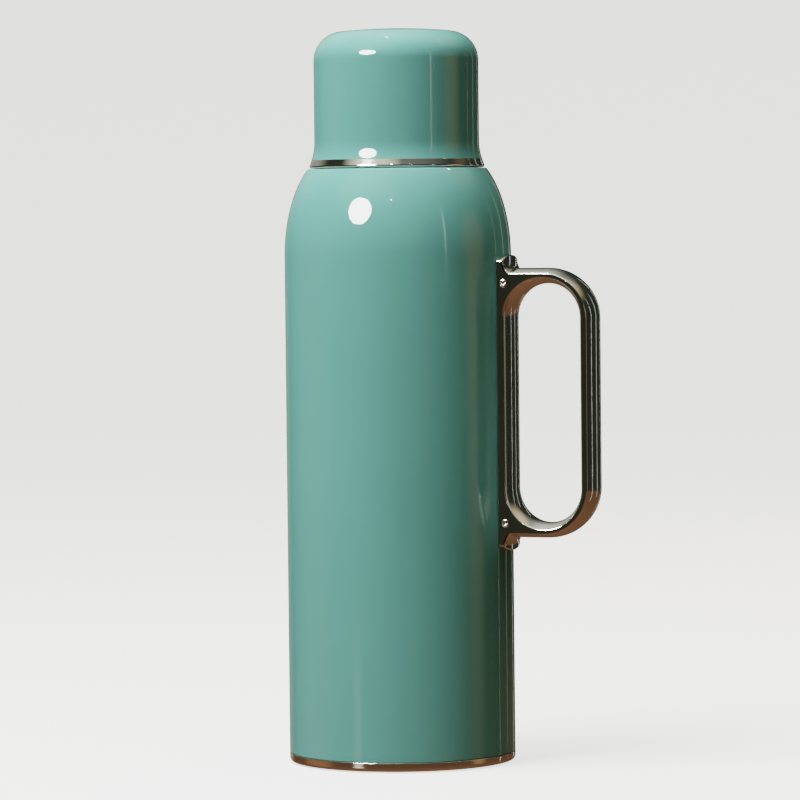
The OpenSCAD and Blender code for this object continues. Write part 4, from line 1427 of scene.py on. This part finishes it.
@dataclass
class Studio:
    """Floor, room, lights and camera, in metres and degrees."""

    heading: float = 19.0
    distance: float = 2.055
    height: float = 0.2505
    aside: float = 0.00034
    pitch: float = 2.36
    roll: float = 0.58
    lens: float = 201.4
    focus: float = 0.19
    floor_radius: float = 7.0
    floor_bend: float = 2.5
    wall_height: float = 6.0
    under: float = 0.0002

    def build(self) -> None:
        """Builds the studio."""
        self.sweep()
        Room(self).build()
        for lamp in LAMPS:
            self.hang(lamp)
        self.camera()

    def direction(self, azimuth: float, elevation: float) -> Vector:
        """A unit vector towards a place given by its azimuth from the camera and its elevation."""
        a, e = math.radians(self.heading + azimuth), math.radians(elevation)
        return Vector((math.sin(a) * math.cos(e), -math.cos(a) * math.cos(e), math.sin(e)))

    def hang(self, lamp: Lamp) -> None:
        """Hangs a lamp so that it faces the middle of the flask."""
        light = bpy.data.lights.new(lamp.name, "AREA")
        light.shape = "ELLIPSE"
        light.size, light.size_y = lamp.size
        light.energy = lamp.watts()
        light.color = lamp.colour
        holder = place(lamp.name, light)
        toward = self.direction(lamp.azimuth, lamp.elevation)
        holder.location = Vector((0, 0, self.focus)) + toward * lamp.distance
        holder.rotation_mode = "QUATERNION"
        holder.rotation_quaternion = toward.to_track_quat("Z", "Y")
        holder.visible_glossy = lamp.role is Role.MIRRORED
        holder.visible_diffuse = lamp.role is Role.SOFT
        holder.visible_camera = False

    def sweep(self) -> None:
        """A round pale floor whose edge curves up into a wall, far enough out for any view.

        The profile is a line from the axis, a quarter circle and a line, turned about the axis. It
        lies a hair under the flask, and its faces point to the inside of the bowl.
        """
        reach, bend = self.floor_radius, self.floor_bend
        curve = arc((reach - bend, bend), bend, bend, -90, 0, 32)
        line = np.concatenate([[[0.0, 0.0]], curve, [[reach, self.wall_height]]]) - [0.0, self.under]
        mesh = make_mesh("pale_floor", [revolve(line, False, 96)], outwards=False)
        g = Graph("floor_paper")
        g.set(Base_Color=(0.88, 0.88, 0.87, 1), Roughness=0.9, Emission_Color=(1.0, 1.0, 0.99, 1),
              Emission_Strength=1.2)
        mesh.materials.append(g.material)
        floor = place("pale_floor", mesh)
        floor.visible_diffuse = False
        floor.visible_glossy = False

    def camera(self) -> None:
        """A long lens a little above the flask's middle, tilted down and rolled by half a degree."""
        ahead, right = -self.direction(0, 0), self.direction(90, 0)
        p, r = math.radians(self.pitch), math.radians(self.roll)
        forward = ahead * math.cos(p) - UP * math.sin(p)
        up = ahead * math.sin(p) + UP * math.cos(p)
        rolled_right = right * math.cos(r) - up * math.sin(r)
        rolled_up = right * math.sin(r) + up * math.cos(r)
        data = bpy.data.cameras.new("camera")
        data.sensor_width, data.lens, data.clip_end = 36, self.lens, 50
        camera = place("camera", data)
        turn = Matrix((rolled_right, rolled_up, -forward)).transposed()
        spot = right * self.aside - ahead * self.distance + UP * self.height
        camera.matrix_world = Matrix.Translation(spot) @ turn.to_4x4()
        scene = bpy.context.scene
        scene.camera = camera
        scene.view_settings.view_transform = "Filmic"
        scene.view_settings.look = "Medium High Contrast"


@dataclass(frozen=True)
class Glow:
    """A round glow on the walls: where it is, how many degrees it reaches, and its colour."""

    azimuth: float
    elevation: float
    reach: float
    colour: Colour


GLOWS = (
    Glow(-50, 48, 34, (0.75, 0.74, 0.66)),
    Glow(-46, -11, 7.5, (0.9, 0.87, 0.76)),
    Glow(-97, -9, 26, (0.16, 0.07, 0.03)),
    Glow(-10, 40, 14, (0.34, 0.32, 0.25)),
    Glow(-152, 40, 40, (0.6, 0.58, 0.5)),
    Glow(112, 50, 30, (0.42, 0.30, 0.17)),
    Glow(-165, 0, 20, (0.25, 0.24, 0.2)),
    Glow(84, 7, 18, (0.55, 0.34, 0.15)),
)
WALL_COLOURS = (
    (-90, (0.20, 0.10, 0.055)),
    (-6.8, (0.12, 0.066, 0.038)),
    (-4.6, (0.03, 0.03, 0.022)),
    (3, (0.022, 0.027, 0.02)),
    (30, (0.04, 0.044, 0.036)),
    (60, (0.4, 0.41, 0.37)),
    (90, (1.5, 1.5, 1.38)),
)
MATT_SHARE = 0.5


class Room(Nodes):
    """The world: what the bright surfaces mirror beyond the lamps."""

    def __init__(self, studio: Studio) -> None:
        """Makes an empty world."""
        self.studio = studio
        world = bpy.data.worlds.new("room")
        bpy.context.scene.world = world
        world.use_nodes = True
        super().__init__(world.node_tree, "Generated")

    def build(self) -> None:
        """Dim walls by height, a warm table below, and soft glows towards the windows."""
        colour = self.walls()
        for glow in GLOWS:
            colour = self.with_glow(colour, glow)
        self.fill(self.tree.nodes["Background"], {"Color": colour, "Strength": self.strength()})

    def strength(self) -> Socket:
        """The room's strength: less for the light on matt surfaces, so it shows mostly in mirrors."""
        path = self.tree.nodes.new("ShaderNodeLightPath")
        return self.add("MapRange", "Result", {"To Min": 1.0, "To Max": MATT_SHARE,
                                               "Value": path.outputs["Is Diffuse Ray"]})

    def walls(self) -> Socket:
        """The room's colour by elevation, from a ramp over (1 + sine of the elevation) / 2."""
        height = self.add("SeparateXYZ", "Z", {"Vector": self.place})
        share = self.add("MapRange", "Result", {"From Min": -1.0, "Value": height})
        return self.ramp(share, [((1 + math.sin(math.radians(elevation))) / 2, colour)
                                 for elevation, colour in WALL_COLOURS])

    def with_glow(self, colour: Socket, glow: Glow) -> Socket:
        """The colour plus a glow that fades smoothly from its middle to its reach."""
        middle = self.studio.direction(glow.azimuth, glow.elevation)
        near = self.add("VectorMath", "Value", {0: self.place, 1: middle}, operation="DOT_PRODUCT")
        edge = math.cos(math.radians(glow.reach))
        fade = self.add("MapRange", "Result", {"From Min": edge, "Value": near},
                        interpolation_type="SMOOTHSTEP")
        return self.add("VectorMath", "Vector", {0: glow.colour, 1: fade, 2: colour},
                        operation="MULTIPLY_ADD")


def main() -> None:
    """Builds the flask and its studio."""
    logging.basicConfig(level=logging.INFO, format="%(name)s: %(message)s", stream=sys.stdout)
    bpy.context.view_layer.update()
    for part in (FlaskBody(), Handle(), Stopper(), Cup()):
        part.build()
    Studio().build()


if __name__ == "__main__":
    main()
